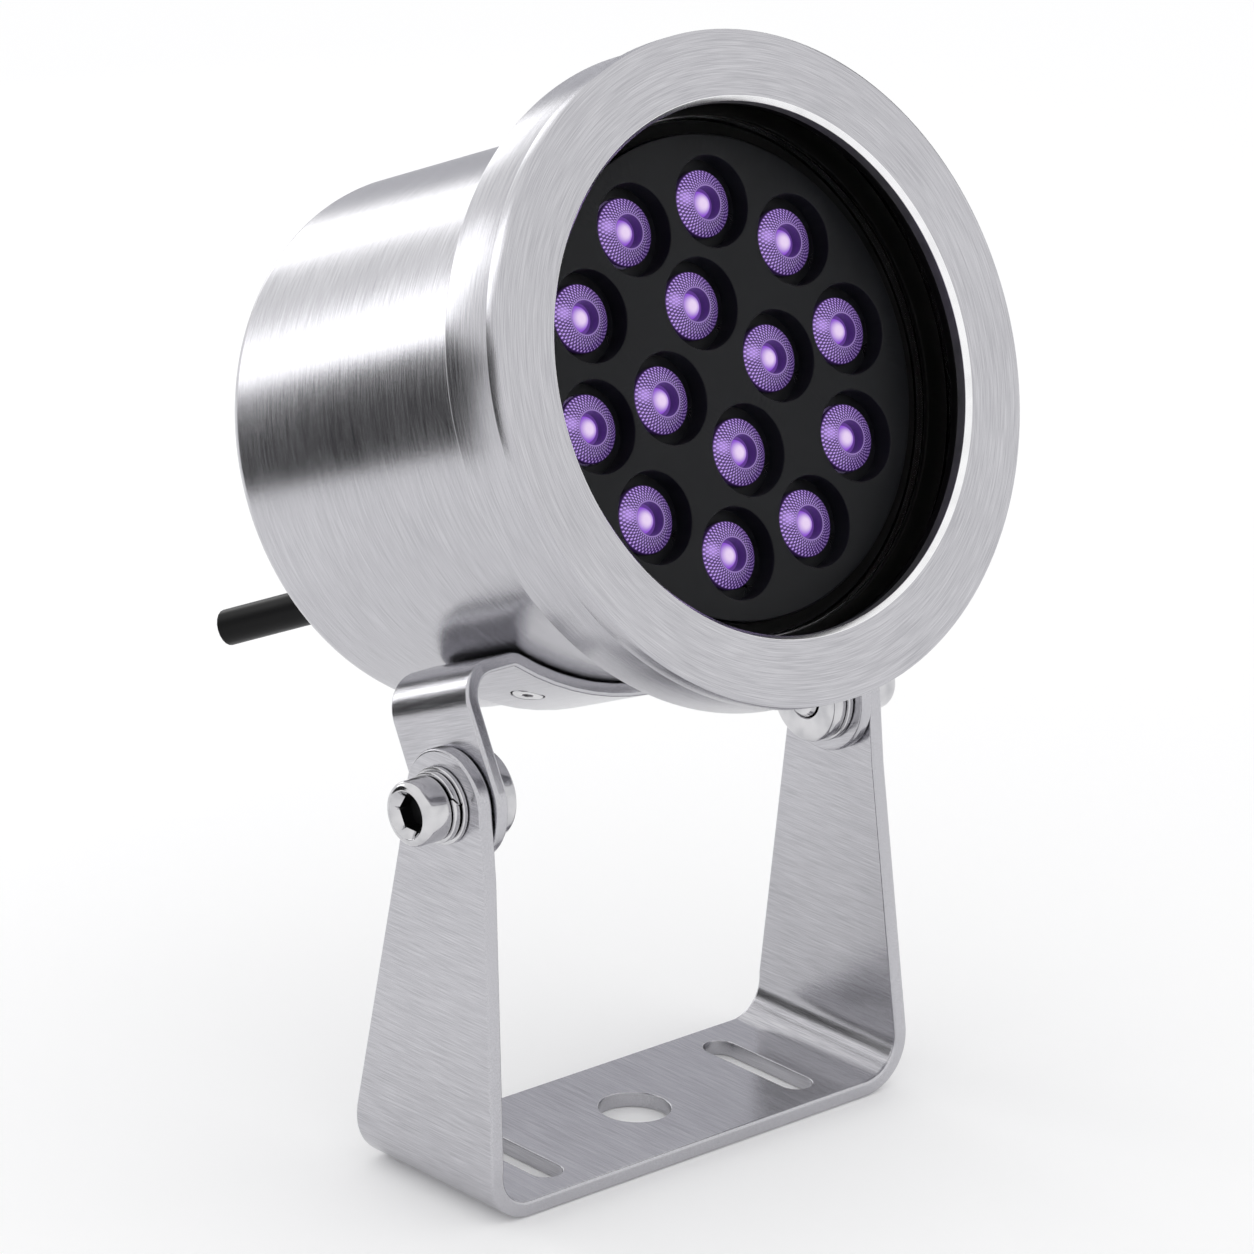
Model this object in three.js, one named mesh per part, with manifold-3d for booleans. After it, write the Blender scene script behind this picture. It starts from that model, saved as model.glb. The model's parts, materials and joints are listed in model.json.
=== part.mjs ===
// Underwater pond light: a round stainless lamp head that tilts in a bent yoke.
//
// Millimetres, +Z up. The lamp shines towards -Y, and +X is to the right as seen from the front.
// The head is drawn level in its own frame, with its axis along +Y and the
// front face of the ring at y = 0, and is then tilted about the pivot bolts.

import * as THREE from 'three';
import { mergeVertices } from 'three/addons/utils/BufferGeometryUtils.js';
import Module from 'manifold-3d';

const wasm = await Module();
wasm.setup();

// ---------------------------------------------------------------- driving dimensions

const GAP = 0.3;                        // clearance between pieces that touch

const YOKE = {
  sheet: 4,
  depth: 50,                            // front to back
  footHalfWidth: 69.5,                  // to the outer face of an arm at the bend
  topHalfWidth: 66,                     // to the outer face of an arm at the pivot
  bendRadius: 11,                       // to the middle of the sheet
  straightFrom: 84,                     // the arms are plumb above this height
  pivotHeight: 100.3,
  topRadius: 13.5,
  pivotHole: 5.5,
  centreHole: 9,
  slotLength: 36,
  slotWidth: 8.6,
  slotSpacing: 84,
};

const HEAD = {
  tilt: 23.3,                           // nose up, degrees
  pivotDepth: 74.5,                     // pivot behind the front face
  pivotDrop: 82.2,                      // pivot below the lamp axis
};

const RING = { outer: 80, opening: 63, thickness: 5, lip: 4, chamfer: 1.3, edge: 0.7 };

const HOUSING = {
  flange: 79, flangeFront: 5.6, flangeBack: 21.6,
  body: 66.5, wall: 2.5, back: 122.6, backRound: 4,
  glassPocket: 68.5, seat: 15.3, seatBore: 61.8, seatBack: 19.3,
  plateOpening: 58, ledgeBore: 53, ledgeBack: 119.6, ledge: 2.5,
};

const SCREWS = {
  count: 6, circle: 74.3, shank: 2, hole: 2.3, head: 3.3, headHeight: 2.7,
  recess: 3.8, recessDepth: 3,          // the heads sit in the back of the flange
  socket: 3, socketDepth: 1.6,
};

const STRAP = {
  sheet: 3.5, width: 30,
  setBack: 2.8,                         // the strap's middle behind the pivot
  apexHeight: -51.2, apexRadius: 4, earFace: 61.7, earBend: 8.4,
  screwAngle: 26, screwHole: 2.6, recess: 4.1, recessDepth: 1.6,
  endRadius: 15, pivotHole: 5.3,
};

const OPTICS = {
  face: 15.6, faceRadius: 58, shelf: 17.8, panel: 61.4, panelBack: 24.6,
  recess: 11, recessFloor: 21, throat: 8.4,
  turn: 5.6, outerCircle: 41.8, outerCount: 10, innerCircle: 18.1, innerCount: 4,
};

const LENS = { radius: 8.1, rim: 19.5, crown: 17.6, bore: 4, boreFloor: 20.6, foot: 4.6,
  cavity: 3, cavityRoof: 21.4 };

const LED_BOARD = { radius: 60.5, sheet: 1.6 };
const SPREADER = { radius: 63.6, front: 26.8, back: 32.8, finHeight: 12, finWidth: 2.5, finReach: 50 };
const CARRIER_SCREW = { circle: 57.2, hole: 1.8 };

const CABLE = { radius: 4.7, drop: -32, exit: 148.3 };

// ---------------------------------------------------------------- materials

const metal = (colour, roughness) =>
  new THREE.MeshStandardMaterial({ color: colour, roughness, metalness: 1 });
const dull = (colour, roughness) =>
  new THREE.MeshStandardMaterial({ color: colour, roughness, metalness: 0 });

const BRUSHED = metal(0xc8c7cd, 0.35);
const POLISHED = metal(0xd6d6d8, 0.15);
const ALUMINIUM = metal(0xa9abae, 0.45);
const BRASS = metal(0xb89a5a, 0.3);
const RUBBER = dull(0x111112, 0.8);
const BLACK = dull(0x17171a, 0.6);
const BOARD = dull(0x2f5d3a, 0.6);
const CERAMIC = dull(0xe9e7ee, 0.4);
const GLASS = new THREE.MeshStandardMaterial({
  color: 0xe6eef0, roughness: 0.05, metalness: 0, transparent: true, opacity: 0.3 });
const LENS_CLEAR = new THREE.MeshStandardMaterial({
  color: 0xb99cf5, roughness: 0.1, metalness: 0, transparent: true, opacity: 0.6 });

// ---------------------------------------------------------------- solids

const radians = THREE.MathUtils.degToRad;
const AXIS_X = new THREE.Vector3(1, 0, 0);
const AXIS_Y = new THREE.Vector3(0, 1, 0);
const AXIS_Z = new THREE.Vector3(0, 0, 1);

/** A closed three.js geometry as a solid that can be joined and cut. */
function solid(geometry) {
  const bare = geometry.clone();
  bare.deleteAttribute('normal');
  bare.deleteAttribute('uv');
  const merged = mergeVertices(bare, 1e-4);
  const index = merged.index.array;
  const corners = [];
  for (let i = 0; i < index.length; i += 3) {
    const [a, b, c] = [index[i], index[i + 1], index[i + 2]];
    if (a !== b && b !== c && c !== a) corners.push(a, b, c);
  }
  const make = (triVerts) => new wasm.Manifold(new wasm.Mesh({
    numProp: 3,
    vertProperties: new Float32Array(merged.attributes.position.array),
    triVerts: new Uint32Array(triVerts),
  }));
  const made = make(corners);
  return made.volume() > 0 ? made : make(corners.reverse());
}

/** A named mesh from a solid. */
function piece(name, body, material) {
  const { vertProperties, triVerts } = body.getMesh();
  const geometry = new THREE.BufferGeometry();
  geometry.setAttribute('position', new THREE.BufferAttribute(new Float32Array(vertProperties), 3));
  geometry.setIndex(new THREE.BufferAttribute(new Uint32Array(triVerts), 1));
  geometry.computeVertexNormals();
  const mesh = new THREE.Mesh(geometry, material);
  mesh.name = name;
  return mesh;
}

/** A profile of [radius, y] points turned about the Y axis. */
function turned(profile, segments = 40) {
  return new THREE.LatheGeometry(profile.map(([r, y]) => new THREE.Vector2(r, y)), segments);
}

/** A turned ring: the profile closes on itself. */
function turnedRing(profile, segments = 40) {
  return turned([...profile, profile[0]], segments);
}

/** A ring of rectangular section between two radii and two depths. */
function washer(inner, outer, from, to, segments = 40) {
  return turnedRing([[inner, from], [outer, from], [outer, to], [inner, to]], segments);
}

/** A rod along Y from one depth to another. */
function rod(radius, from, to, segments = 20) {
  const geometry = new THREE.CylinderGeometry(radius, radius, to - from, segments);
  return geometry.translate(0, (from + to) / 2, 0);
}

/** A hexagonal prism along Y, by its width across flats. */
function hexagon(flats, from, to) {
  return rod(flats / Math.sqrt(3), from, to, 6);
}

/** A box along Y between two depths. */
function block(width, height, from, to) {
  return new THREE.BoxGeometry(width, to - from, height).translate(0, (from + to) / 2, 0);
}

/** Moves what is drawn along Y so that it points along X, to the given side. */
function sideways(geometry, side) {
  return geometry.rotateZ(side > 0 ? -Math.PI / 2 : Math.PI / 2);
}

/** The place at an angle on a circle about the lamp axis, angle 0 to the right, 90 up. */
function onCircle(radius, degrees) {
  return [radius * Math.cos(radians(degrees)), radius * Math.sin(radians(degrees))];
}

/** Cuts a list of geometries out of a solid. */
function cut(body, geometries) {
  return geometries.reduce((rest, geometry) => rest.subtract(solid(geometry)), body);
}

/** Joins a list of geometries to a solid. */
function join(body, geometries) {
  return geometries.reduce((whole, geometry) => whole.add(solid(geometry)), body);
}

/** The middle line of a bent sheet, as straight runs and round bends from a start point. */
class SheetLine {
  constructor(x, z) {
    this.x = x;
    this.z = z;
    this.heading = 0;
    this.marks = [[x, z, 0]];
  }

  run(length) {
    this.x += length * Math.cos(this.heading);
    this.z += length * Math.sin(this.heading);
    this.marks.push([this.x, this.z, this.heading]);
    return this;
  }

  turn(radius, degrees, steps) {
    const step = radians(degrees) / steps;
    const chord = 2 * radius * Math.sin(Math.abs(step) / 2);
    for (let i = 0; i < steps; i += 1) {
      this.x += chord * Math.cos(this.heading + step / 2);
      this.z += chord * Math.sin(this.heading + step / 2);
      this.heading += step;
      this.marks.push([this.x, this.z, this.heading]);
    }
    return this;
  }

  /** The outline of the sheet and of its mirror image about x = 0, as one shape. */
  mirroredShape(thickness) {
    const beside = (distance) => this.marks.map(([x, z, heading]) =>
      [x - distance * Math.sin(heading), z + distance * Math.cos(heading)]);
    const inner = beside(thickness / 2);
    const outer = beside(-thickness / 2);
    const half = [...outer, ...inner.reverse()];
    const other = half.slice(1, -1).reverse().map(([x, z]) => [-x, z]);
    return new THREE.Shape([...half, ...other].map(([x, z]) => new THREE.Vector2(x, z)));
  }
}

/** Extrudes a shape of (x, z) points along Y, centred on y = 0. */
function acrossY(shape, depth, curveSegments = 12) {
  const options = { depth, bevelEnabled: false, curveSegments };
  return new THREE.ExtrudeGeometry(shape, options).rotateX(Math.PI / 2).translate(0, depth / 2, 0);
}

/** Extrudes a shape of (y, z) points along X, centred on x = 0. */
function acrossX(shape, width, curveSegments = 12) {
  const options = { depth: width, bevelEnabled: false, curveSegments };
  const turn = new THREE.Matrix4().makeBasis(AXIS_Y, AXIS_Z, AXIS_X);
  return new THREE.ExtrudeGeometry(shape, options).applyMatrix4(turn).translate(-width / 2, 0, 0);
}

// ---------------------------------------------------------------- yoke

/** The side view of an arm: a foot, straight tapering sides and a round top. */
function armOutline() {
  const half = YOKE.depth / 2;
  const footTop = 15;
  const rise = YOKE.pivotHeight - footTop;
  const reach = Math.hypot(half, rise);
  const start = Math.acos(YOKE.topRadius / reach) - Math.atan2(rise, half);
  const shape = new THREE.Shape();
  shape.moveTo(-half, -1);
  shape.lineTo(half, -1);
  shape.lineTo(half, footTop);
  shape.absarc(0, YOKE.pivotHeight, YOKE.topRadius, start, Math.PI - start, false);
  shape.lineTo(-half, footTop);
  return shape;
}

/** A slot with round ends, long along Y. */
function slot(x) {
  const radius = YOKE.slotWidth / 2;
  const half = YOKE.slotLength / 2 - radius;
  const shape = new THREE.Shape();
  shape.absarc(x, half, radius, 0, Math.PI, false);
  shape.absarc(x, -half, radius, Math.PI, 2 * Math.PI, false);
  const depth = 3 * YOKE.sheet;
  return new THREE.ExtrudeGeometry(shape, { depth, bevelEnabled: false, curveSegments: 8 })
    .translate(0, 0, -YOKE.sheet);
}

function yoke() {
  const half = YOKE.sheet / 2;
  const lean = Math.atan2(YOKE.footHalfWidth - YOKE.topHalfWidth, YOKE.straightFrom - YOKE.bendRadius);
  const leanDegrees = THREE.MathUtils.radToDeg(lean);
  const armRun = (YOKE.straightFrom - YOKE.bendRadius - half) / Math.cos(lean);
  const line = new SheetLine(0, half)
    .run(YOKE.footHalfWidth - half - YOKE.bendRadius)
    .turn(YOKE.bendRadius, 90 + leanDegrees, 7)
    .run(armRun)
    .turn(1, -leanDegrees, 1)
    .run(YOKE.pivotHeight + YOKE.topRadius - YOKE.straightFrom + 1);
  const side = new THREE.CylinderGeometry(YOKE.pivotHole, YOKE.pivotHole, 4 * YOKE.topHalfWidth, 24);
  const centre = new THREE.CylinderGeometry(YOKE.centreHole, YOKE.centreHole, 4 * YOKE.sheet, 32);
  const body = solid(acrossY(line.mirroredShape(YOKE.sheet), YOKE.depth))
    .intersect(solid(acrossX(armOutline(), 4 * YOKE.topHalfWidth, 10)));
  return piece('yoke', cut(body, [
    side.rotateZ(Math.PI / 2).translate(0, 0, YOKE.pivotHeight),
    centre.rotateX(Math.PI / 2),
    slot(YOKE.slotSpacing / 2),
    slot(-YOKE.slotSpacing / 2),
  ]), BRUSHED);
}

// ---------------------------------------------------------------- pivot fasteners

const STACK = { washer: 1.2, spring: 1.9, head: 7.5, inner: 1.6, nut: 3.6, nutRadius: 11.4, proud: 1 };

/** The places along a pivot, from the middle of the lamp outwards. */
function pivotPlaces() {
  const armOut = YOKE.topHalfWidth;
  const washerIn = armOut + GAP;
  const springIn = washerIn + STACK.washer + GAP;
  const headIn = springIn + STACK.spring + GAP;
  const earIn = STRAP.earFace - STRAP.sheet;
  const innerOut = earIn - GAP;
  const nutOut = innerOut - STACK.inner - GAP;
  return { washerIn, springIn, headIn, innerOut, nutOut, tip: nutOut - STACK.nut - STACK.proud };
}

/** A cap screw with a hexagon socket, head outwards. */
function pivotBolt(side) {
  const { headIn, tip } = pivotPlaces();
  const headOut = headIn + STACK.head;
  const profile = [[0, tip], [4.2, tip], [4.9, tip + 0.8], [4.9, headIn], [7.6, headIn], [8, headIn + 0.4],
    [8, headOut - 1.4], [6.8, headOut], [0, headOut]];
  const socket = hexagon(8, headOut - 4.5, headOut + 1);
  return cut(solid(sideways(turned(profile, 24), side)), [sideways(socket, side)]);
}

/** A spring washer: a ring with one slanting split. */
function springWasher(side) {
  const { springIn } = pivotPlaces();
  const ring = washer(5.3, 8.7, springIn, springIn + STACK.spring, 24);
  const split = new THREE.BoxGeometry(1.1, 12, 6).rotateZ(radians(25)).translate(0, springIn, 8);
  return cut(solid(sideways(ring, side)), [sideways(split, side)]);
}

function flatWasher(side, inner, outer, from, to) {
  return solid(sideways(washer(inner, outer, from, to, 24), side));
}

/** A low round nut with softened edges. */
function pivotNut(side) {
  const { nutOut } = pivotPlaces();
  const nutIn = nutOut - STACK.nut;
  const outer = STACK.nutRadius;
  const profile = [[5.3, nutIn], [outer - 0.8, nutIn], [outer, nutIn + 0.8], [outer, nutOut - 0.4],
    [outer - 0.4, nutOut], [5.3, nutOut]];
  return solid(sideways(turnedRing(profile, 24), side));
}

function pivotFasteners() {
  const places = pivotPlaces();
  const group = new THREE.Group();
  for (const [side, word] of [[-1, 'left'], [1, 'right']]) {
    const { washerIn, innerOut } = places;
    group.add(piece(`pivot_bolt_${word}`, pivotBolt(side), POLISHED));
    group.add(piece(`spring_washer_${word}`, springWasher(side), POLISHED));
    const outer = flatWasher(side, 5.4, 9.5, washerIn, washerIn + STACK.washer);
    group.add(piece(`outer_washer_${word}`, outer, POLISHED));
    const inner = flatWasher(side, 5.4, 12, innerOut - STACK.inner, innerOut);
    group.add(piece(`inner_washer_${word}`, inner, POLISHED));
    group.add(piece(`pivot_nut_${word}`, pivotNut(side), POLISHED));
  }
  group.position.z = YOKE.pivotHeight;
  return group;
}

// ---------------------------------------------------------------- saddle strap

/** The side view of an ear, in (y, z) of the head: edges that lean to a round end. */
function strapOutline() {
  const half = STRAP.width / 2;
  const middle = HEAD.pivotDepth + STRAP.setBack;
  const shape = new THREE.Shape();
  shape.moveTo(middle + half, 0);
  shape.lineTo(middle - half, 0);
  shape.lineTo(middle - half, STRAP.apexHeight);
  shape.absarc(HEAD.pivotDepth, -HEAD.pivotDrop, STRAP.endRadius, Math.PI, 2 * Math.PI, false);
  shape.lineTo(middle + half, STRAP.apexHeight);
  return shape;
}

/** A screw hole or screw that points along a radius of the body, down and to one side. */
function saddleRadial(geometry, side) {
  return geometry.rotateX(-Math.PI / 2)
    .rotateY(radians(-side * STRAP.screwAngle))
    .translate(0, HEAD.pivotDepth + STRAP.setBack, 0);
}

function saddleBracket() {
  const middle = HOUSING.body + GAP + STRAP.sheet / 2;
  const topMiddle = STRAP.apexHeight - STRAP.sheet / 2;
  const away = Math.acos((STRAP.apexRadius - topMiddle) / (middle + STRAP.apexRadius));
  const awayDegrees = THREE.MathUtils.radToDeg(away);
  const flangeStart = (middle + STRAP.apexRadius) * Math.sin(away);
  const earMiddle = STRAP.earFace - STRAP.sheet / 2;
  const line = new SheetLine(0, -middle)
    .turn(middle, awayDegrees, 8)
    .turn(STRAP.apexRadius, -awayDegrees, 3)
    .run(earMiddle - STRAP.earBend - flangeStart)
    .turn(STRAP.earBend, -90, 5)
    .run(HEAD.pivotDrop);
  const sheet = acrossY(line.mirroredShape(STRAP.sheet), STRAP.width + 4 * STRAP.setBack)
    .translate(0, HEAD.pivotDepth, 0);
  const hole = new THREE.CylinderGeometry(STRAP.pivotHole, STRAP.pivotHole, 3 * STRAP.earFace, 24)
    .rotateZ(Math.PI / 2)
    .translate(0, HEAD.pivotDepth, -HEAD.pivotDrop);
  const body = solid(sheet).intersect(solid(acrossX(strapOutline(), 3 * STRAP.earFace, 10)));
  const under = middle + STRAP.sheet / 2;
  const screwHoles = [-1, 1].flatMap((side) => [
    saddleRadial(rod(STRAP.screwHole, middle - 4, middle + 4, 12), side),
    saddleRadial(rod(STRAP.recess, under - STRAP.recessDepth, under + 2, 16), side),
  ]);
  return piece('saddle_bracket', cut(body, [hole, ...screwHoles]), BRUSHED);
}

/** A low screw that sits in its recess, nearly flush with the strap. */
function saddleScrew(side) {
  const seat = HOUSING.body + GAP + STRAP.sheet - STRAP.recessDepth + GAP;
  const tip = HOUSING.body - 3.5;
  const head = STRAP.recess - GAP;
  const profile = [[0, tip], [2, tip], [2, seat], [head, seat], [head, seat + 0.9], [head - 0.4, seat + 1.3],
    [0, seat + 1.3]];
  return solid(saddleRadial(turned(profile, 16), side));
}

// ---------------------------------------------------------------- ring, glass and housing

function screwHoles(radius, from, to) {
  return Array.from({ length: SCREWS.count }, (_, i) => {
    const [x, z] = onCircle(SCREWS.circle, 30 + (360 / SCREWS.count) * i);
    return rod(radius, from, to, 12).translate(x, 0, z);
  });
}

function frontRing() {
  const { outer, opening, thickness, lip, chamfer, edge } = RING;
  const profile = [[opening + chamfer, 0], [outer - edge, 0], [outer, edge], [outer, thickness],
    [HOUSING.glassPocket, thickness], [HOUSING.glassPocket, lip], [opening, lip], [opening, chamfer]];
  const body = solid(turnedRing(profile, 48));
  return piece('front_ring', cut(body, screwHoles(SCREWS.hole, 1.9, thickness + 1)), BRUSHED);
}

/** The corner of the body between its side and its back, as an arc of [radius, y] points. */
function backCorner(steps) {
  const { body, back, backRound } = HOUSING;
  return Array.from({ length: steps + 1 }, (_, i) => {
    const angle = (Math.PI / 2) * (i / steps);
    return [body - backRound * (1 - Math.cos(angle)), back - backRound * (1 - Math.sin(angle))];
  });
}

/** The flanged body shell, with pockets for the glass, the seal ring and the back plate. */
function housingShell() {
  const h = HOUSING;
  const inside = h.body - h.wall;
  const grooveFloor = h.flangeFront + 1.8;
  const profile = [
    [h.glassPocket, h.flangeFront], [69.3, h.flangeFront], [69.3, grooveFloor], [71.7, grooveFloor],
    [71.7, h.flangeFront], [h.flange, h.flangeFront], [h.flange, h.flangeBack - 0.8],
    [h.flange - 0.8, h.flangeBack], [h.body, h.flangeBack], ...backCorner(2),
    [h.plateOpening, h.back], [h.plateOpening, h.ledgeBack], [h.ledgeBore, h.ledgeBack],
    [h.ledgeBore, h.ledgeBack - h.ledge], [inside, h.ledgeBack - h.ledge], [inside, h.seatBack],
    [h.seatBore, h.seatBack], [h.seatBore, h.seat], [h.glassPocket, h.seat],
  ];
  const bosses = [-1, 1].map((side) => saddleRadial(rod(5, inside - 5, h.body - 1, 12), side));
  const blind = [-1, 1].map((side) => saddleRadial(rod(2.4, h.body - 4, h.body + 2, 12), side));
  const body = join(solid(turnedRing(profile, 48)), bosses);
  const holes = [
    ...screwHoles(SCREWS.hole, h.flangeFront - 1, h.flangeBack + 1),
    ...screwHoles(SCREWS.recess, h.flangeBack - SCREWS.recessDepth, h.flangeBack + 1),
  ];
  return piece('housing_shell', cut(body, [...holes, ...blind]), BRUSHED);
}

/** Socket screws that pull the ring on from behind the flange. */
function bezelScrews() {
  const start = HOUSING.flangeBack - SCREWS.recessDepth + GAP;
  const end = start + SCREWS.headHeight;
  const profile = [[0, 2.3], [SCREWS.shank, 2.3], [SCREWS.shank, start], [SCREWS.head, start],
    [SCREWS.head, end - 0.4], [SCREWS.head - 0.4, end], [0, end]];
  return Array.from({ length: SCREWS.count }, (_, i) => {
    const [x, z] = onCircle(SCREWS.circle, 30 + (360 / SCREWS.count) * i);
    const socket = hexagon(SCREWS.socket, end - SCREWS.socketDepth, end + 1);
    const body = cut(solid(turned(profile, 12)), [socket]);
    const screw = piece(`bezel_screw_${String(i + 1).padStart(2, '0')}`, body, POLISHED);
    screw.position.set(x, 0, z);
    return screw;
  });
}

/** The seal ring in the flange groove. */
function flangeSeal() {
  const section = Array.from({ length: 6 }, (_, i) => {
    const angle = (2 * Math.PI * i) / 6;
    return [70.5 + 0.9 * Math.cos(angle), 6.25 + 0.9 * Math.sin(angle)];
  });
  return piece('flange_seal', solid(turnedRing(section, 36)), RUBBER);
}

function frontWindow() {
  const inner = RING.opening + 0.3;
  return [
    piece('front_gasket', solid(washer(inner, 68.2, 4.3, 6.9)), RUBBER),
    piece('front_glass', solid(rod(68, 7.2, 13.2, 40)), GLASS),
    piece('seat_gasket', solid(washer(HOUSING.seatBore + 0.2, 68.2, 13.5, 15)), RUBBER),
  ];
}

/** The plate that closes the back of the body, with the hole for the cable gland. */
function backPlate() {
  const start = HOUSING.ledgeBack + GAP;
  const body = solid(turned([[0, start], [57.7, start], [57.7, HOUSING.back], [0, HOUSING.back]]));
  return piece('back_plate', cut(body, [rod(8.2, start - 1, HOUSING.back + 1, 20)
    .translate(0, 0, CABLE.drop)]), BRUSHED);
}

// ---------------------------------------------------------------- lenses and light board

/** The places of the lenses on the panel: a ring of ten around a ring of four. */
function lensPlaces() {
  const places = [];
  for (let i = 0; i < OPTICS.outerCount; i += 1) {
    places.push(onCircle(OPTICS.outerCircle, OPTICS.turn + (360 / OPTICS.outerCount) * i));
  }
  for (let i = 0; i < OPTICS.innerCount; i += 1) {
    places.push(onCircle(OPTICS.innerCircle, OPTICS.turn + (360 / OPTICS.innerCount) * i));
  }
  return places;
}

/** The places of the three screws that hold panel, board and heat spreader together. */
function carrierPlaces() {
  const step = 360 / OPTICS.outerCount;
  return [0.5, 3.5, 6.5].map((i) => onCircle(CARRIER_SCREW.circle, OPTICS.turn + step * i));
}

function lensPanel() {
  const { face, faceRadius, shelf, panel, panelBack, recess, recessFloor, throat } = OPTICS;
  const holes = lensPlaces().flatMap(([x, z]) => [
    rod(recess, face - 1, recessFloor, 14).translate(x, 0, z),
    rod(throat, recessFloor - 1, panelBack + 1, 14).translate(x, 0, z),
  ]);
  const screws = carrierPlaces().map(([x, z]) => rod(1.8, 18.2, panelBack + 1, 10).translate(x, 0, z));
  const profile = [[0, face], [faceRadius, face], [faceRadius, shelf], [panel, shelf],
    [panel, panelBack], [0, panelBack]];
  const body = solid(turned(profile));
  return piece('lens_panel', cut(body, [...holes, ...screws]), BLACK);
}

/** A collimator lens: convex crown with a bore, sides that narrow to a foot with a cavity. */
function lenses() {
  const { radius, rim, crown, bore, boreFloor, foot, cavity, cavityRoof } = LENS;
  const back = OPTICS.panelBack;
  const profile = [[0, boreFloor], [bore, boreFloor], [bore, crown], [radius, rim],
    [radius, rim + 1], [foot, back], [cavity, back], [cavity, cavityRoof], [0, cavityRoof]];
  const body = solid(turned(profile, 12));
  return lensPlaces().map(([x, z], i) => {
    const lens = piece(`lens_${String(i + 1).padStart(2, '0')}`, body, LENS_CLEAR);
    lens.position.set(x, 0, z);
    return lens;
  });
}

/** The aluminium-core board with its soldered emitters: a base and a dome under each lens. */
function ledBoard() {
  const front = OPTICS.panelBack + GAP;
  const emitter = turned([[0, 22], [2.2, 23.2], [2.6, front + 0.5], [0, front + 0.5]], 8);
  const emitters = lensPlaces().map(([x, z]) => emitter.clone().translate(x, 0, z));
  const { radius, sheet } = LED_BOARD;
  const board = solid(turned([[0, front], [radius, front], [radius, front + sheet], [0, front + sheet]]));
  const screws = carrierPlaces().map(([x, z]) => rod(CARRIER_SCREW.hole, 20, 30, 10).translate(x, 0, z));
  return piece('led_board', cut(join(board, emitters), screws), CERAMIC);
}

/** The aluminium plate that carries heat to the body, with cooling fins on its back. */
function heatSpreader() {
  const { radius, front, back, finHeight, finWidth, finReach } = SPREADER;
  const fins = [-35, -21, -7, 7, 21, 35].map((x) =>
    block(finWidth, 2 * Math.sqrt(finReach ** 2 - x * x), back - 1, back + finHeight).translate(x, 0, 0));
  const plate = solid(turned([[0, front], [radius, front], [radius, back], [0, back]]));
  const screws = carrierPlaces().map(([x, z]) => rod(CARRIER_SCREW.hole, 20, 40, 10).translate(x, 0, z));
  return piece('heat_spreader', cut(join(plate, fins), screws), ALUMINIUM);
}

function carrierScrews() {
  const profile = [[0, 18.6], [1.5, 18.6], [1.5, 33.1], [2.8, 33.1], [2.8, 34.4], [2, 35.4], [0, 35.4]];
  return carrierPlaces().map(([x, z], i) => {
    const screw = piece(`carrier_screw_${i + 1}`, solid(turned(profile, 10)), POLISHED);
    screw.position.set(x, 0, z);
    return screw;
  });
}

// ---------------------------------------------------------------- driver

function driver() {
  const boardFront = 60;
  const places = [[0, 44], [28, -34], [-28, -34]];
  const standoffs = places.map(([x, z], i) => {
    const post = piece(`standoff_${i + 1}`, solid(hexagon(5.5, 33.1, boardFront - GAP)), BRASS);
    post.position.set(x, 0, z);
    return post;
  });
  const back = boardFront + 1.6;
  const inductor = piece('driver_inductor', solid(washer(4, 11, back + GAP, back + 11, 20)), BRASS);
  inductor.position.set(22, 0, 10);
  const can = turned([[0, back + GAP], [8, back + GAP], [8, back + 19], [7.4, back + 20],
    [0, back + 20]], 20);
  const capacitor = piece('driver_capacitor', solid(can), BLACK);
  capacitor.position.set(-20, 0, 12);
  const board = piece('driver_board', solid(rod(52, boardFront, back, 32)), BOARD);
  return [...standoffs, board, inductor, capacitor];
}

// ---------------------------------------------------------------- gland and cable

/** The cable gland: body through the back plate, lock nut inside, seal and dome nut outside. */
function gland() {
  const plateIn = HOUSING.ledgeBack + GAP;
  const start = HOUSING.back + GAP;
  const shank = rod(7.9, 112, start + 1, 20);
  const neck = rod(9, start + 5, start + 12, 24);
  const body = cut(join(solid(hexagon(22, start, start + 6)), [shank, neck]), [rod(5.2, 110, 140, 16)]);
  const lockNut = cut(solid(hexagon(22, plateIn - GAP - 3.5, plateIn - GAP)),
    [rod(8.2, plateIn - 6, plateIn + 1, 20)]);
  const seal = solid(washer(5, 8.6, start + 12 + GAP, start + 18, 20));
  const cap = start + 6 + GAP;
  const dome = turned([[0, cap], [11.4, cap], [11.4, cap + 10], [10.2, cap + 14.5], [8, cap + 18],
    [6.6, CABLE.exit - GAP], [0, CABLE.exit - GAP]], 24);
  const capBody = solid(hexagon(22, cap, cap + 9)).add(solid(dome));
  const hollow = [rod(9.3, cap - 1, start + 18 + GAP, 24), rod(5.2, cap, CABLE.exit + 1, 16)];
  const pieces = [
    piece('gland_body', body, POLISHED),
    piece('gland_lock_nut', lockNut, POLISHED),
    piece('gland_seal', seal, RUBBER),
    piece('gland_cap', cut(capBody, hollow), POLISHED),
    piece('cable_inner', solid(rod(CABLE.radius, 92, CABLE.exit - GAP, 10)), RUBBER),
  ];
  pieces.forEach((mesh) => mesh.position.setZ(CABLE.drop));
  return pieces;
}

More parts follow.
